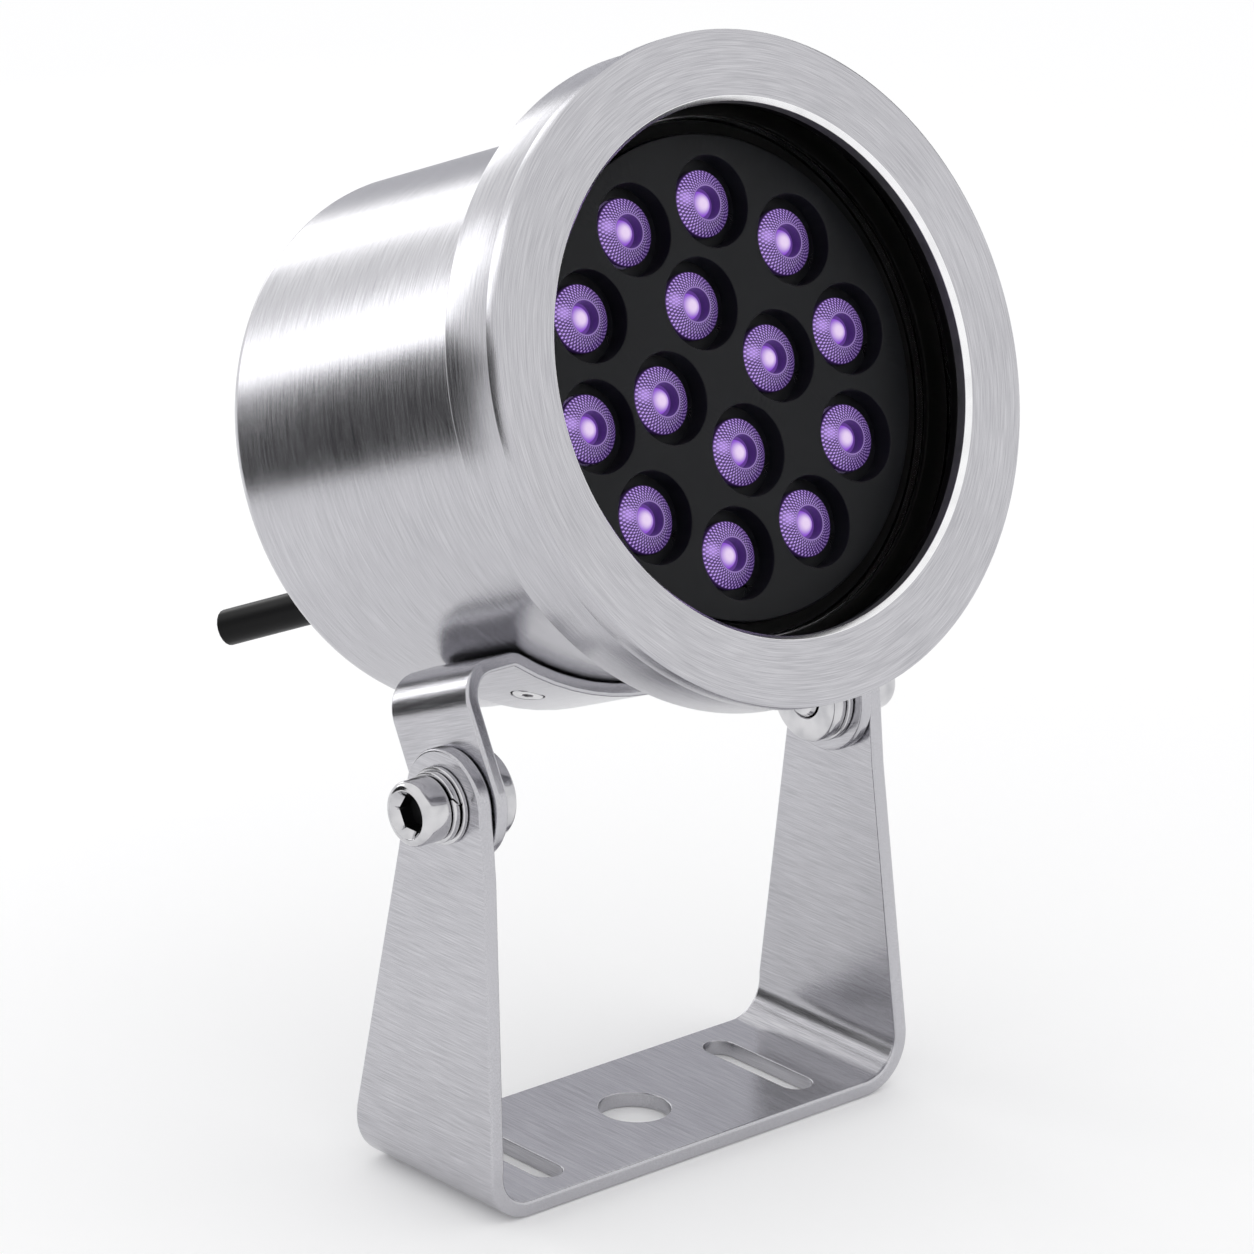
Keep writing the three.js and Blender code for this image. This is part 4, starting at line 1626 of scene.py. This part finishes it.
@dataclass
class Studio:
    """The camera, the floor, the lights and the dark flags that the steel reflects."""

    azimuth: float = -43.25
    elevation: float = 19.9
    roll: float = 2.07
    distance: float = 1.6
    aside: float = -0.00178
    above: float = 0.12245
    focal: float = 185.57

    def camera(self) -> None:
        """Makes the camera, which looks at a point near the middle of the yoke's foot."""
        a, e, r = (math.radians(value) for value in (self.azimuth, self.elevation, self.roll))
        right = Vector((math.cos(a), math.sin(a), 0))
        forward = Vector((-math.sin(a) * math.cos(e), math.cos(a) * math.cos(e), -math.sin(e)))
        up = right.cross(forward)
        right, up = right * math.cos(r) + up * math.sin(r), up * math.cos(r) - right * math.sin(r)
        place = Vector((0, PIVOT.y, 0)) - forward * self.distance + right * self.aside + up * self.above
        data = bpy.data.cameras.new("camera")
        data.lens = self.focal
        data.sensor_width = 36.0
        made = bpy.data.objects.new("camera", data)
        made.matrix_world = Matrix.Translation(place) @ Matrix((right, up, -forward)).transposed().to_4x4()
        bpy.context.scene.collection.objects.link(made)
        bpy.context.scene.camera = made

    def _plane(self, name: str, width: float, height: float, place: Matrix, colour: Colour,
               strength: float = 0.0) -> bpy.types.Object:
        """Makes a flat stage piece.

        Args:
            name: its name.
            width: its width, in metres.
            height: its height.
            place: where it stands.
            colour: its colour.
            strength: how much white light it gives off.

        Returns:
            The object.
        """
        work = bmesh.new()
        bmesh.ops.create_grid(work, x_segments=1, y_segments=1, size=0.5)
        bmesh.ops.scale(work, vec=(width, height, 1), verts=work.verts[:])
        data = bpy.data.meshes.new(name)
        work.to_mesh(data)
        work.free()
        data.transform(place)
        shader = Shader(name)
        shader.set(Base_Color=(*colour, 1.0), Roughness=0.9, Specular_IOR_Level=0.0,
                   Emission_Color=(1, 1, 1, 1), Emission_Strength=strength)
        data.materials.append(shader.material)
        made = bpy.data.objects.new(name, data)
        bpy.context.scene.collection.objects.link(made)
        return made

    def floor(self) -> None:
        """Lays the pale floor."""
        place = Matrix.Translation((0, 0, -0.0002))
        self._plane("floor", 40.0, 40.0, place, (0.93, 0.93, 0.935), 0.06)

    def _facing(self, azimuth: float, distance: float, height: float) -> Matrix:
        """An upright place round the light that faces it.

        Args:
            azimuth: its direction from the light, in degrees.
            distance: how far from the light it is, in metres.
            height: how high its middle is.

        Returns:
            The place.
        """
        angle = math.radians(azimuth)
        place = Vector((distance * math.cos(angle), PIVOT.y + distance * math.sin(angle), height))
        back = Vector((place.x, place.y - PIVOT.y, 0))
        return Matrix.Translation(place) @ back.to_track_quat("Z", "Y").to_matrix().to_4x4()

    def flag(self, name: str, azimuth: float, distance: float, height: float, width: float,
             tall: float, tone: float) -> None:
        """Stands a grey card where only metal sees it.

        Args:
            name: its name.
            azimuth: its direction from the light, in degrees.
            distance: how far from the light it is, in metres.
            height: how high its middle is.
            width: its width.
            tall: its height.
            tone: how bright its grey is.
        """
        place = self._facing(azimuth, distance, height)
        card = self._plane(name, width, tall, place, (tone, tone, tone * 1.06))
        card.visible_camera = False
        card.visible_shadow = False
        card.visible_diffuse = False

    def softbox(self, name: str, azimuth: float, distance: float, height: float, size: Point,
                power: float) -> None:
        """Hangs a soft light that faces the lamp.

        Args:
            name: its name.
            azimuth: its direction from the lamp, in degrees.
            distance: how far from the lamp it is, in metres.
            height: how high it hangs.
            size: its width and height.
            power: its power, in watts.
        """
        data = bpy.data.lights.new(name, "AREA")
        data.shape = "RECTANGLE"
        data.size, data.size_y = size
        data.energy = power
        made = bpy.data.objects.new(name, data)
        angle = math.radians(azimuth)
        place = Vector((distance * math.cos(angle), PIVOT.y + distance * math.sin(angle), height))
        aim = place - Vector((0, PIVOT.y, 0.18))
        made.matrix_world = Matrix.Translation(place) @ aim.to_track_quat("Z", "Y").to_matrix().to_4x4()
        made.visible_camera = False
        bpy.context.scene.collection.objects.link(made)

    def air(self) -> None:
        """Fills the room with even white light."""
        world = bpy.data.worlds.new("room")
        world.use_nodes = True
        background = world.node_tree.nodes["Background"]
        background.inputs["Color"].default_value = (1.0, 1.0, 1.0, 1.0)
        background.inputs["Strength"].default_value = 1.0
        bpy.context.scene.world = world
        bpy.context.scene.view_settings.view_transform = "Standard"

    def build(self) -> None:
        """Sets the studio up."""
        self.floor()
        self.air()
        self.softbox("softbox_back", 76, 0.9, 0.34, (0.22, 0.34), 0.32)
        self.softbox("softbox_back_left", 110, 0.9, 0.34, (0.24, 0.34), 0.44)
        self.flag("flag_low_left", 128, 0.50, 0.11, 0.22, 0.22, 0.015)
        self.flag("flag_behind", 48, 0.95, 0.30, 0.60, 0.60, 0.55)
        self.flag("flag_right", 5, 0.60, 0.42, 0.22, 0.30, 0.02)


def main() -> None:
    """Builds the light piece by piece."""
    logging.basicConfig(level=logging.INFO, format="%(message)s")
    studio = Studio()
    studio.camera()
    entry = CableEntry()
    entry.build_cable()
    Yoke().build()
    for side in Side:
        PivotStack(side).build()
    Saddle().build()
    Housing().build()
    Optics().build()
    entry.build()
    Innards().dress()
    studio.build()


if __name__ == "__main__":
    main()
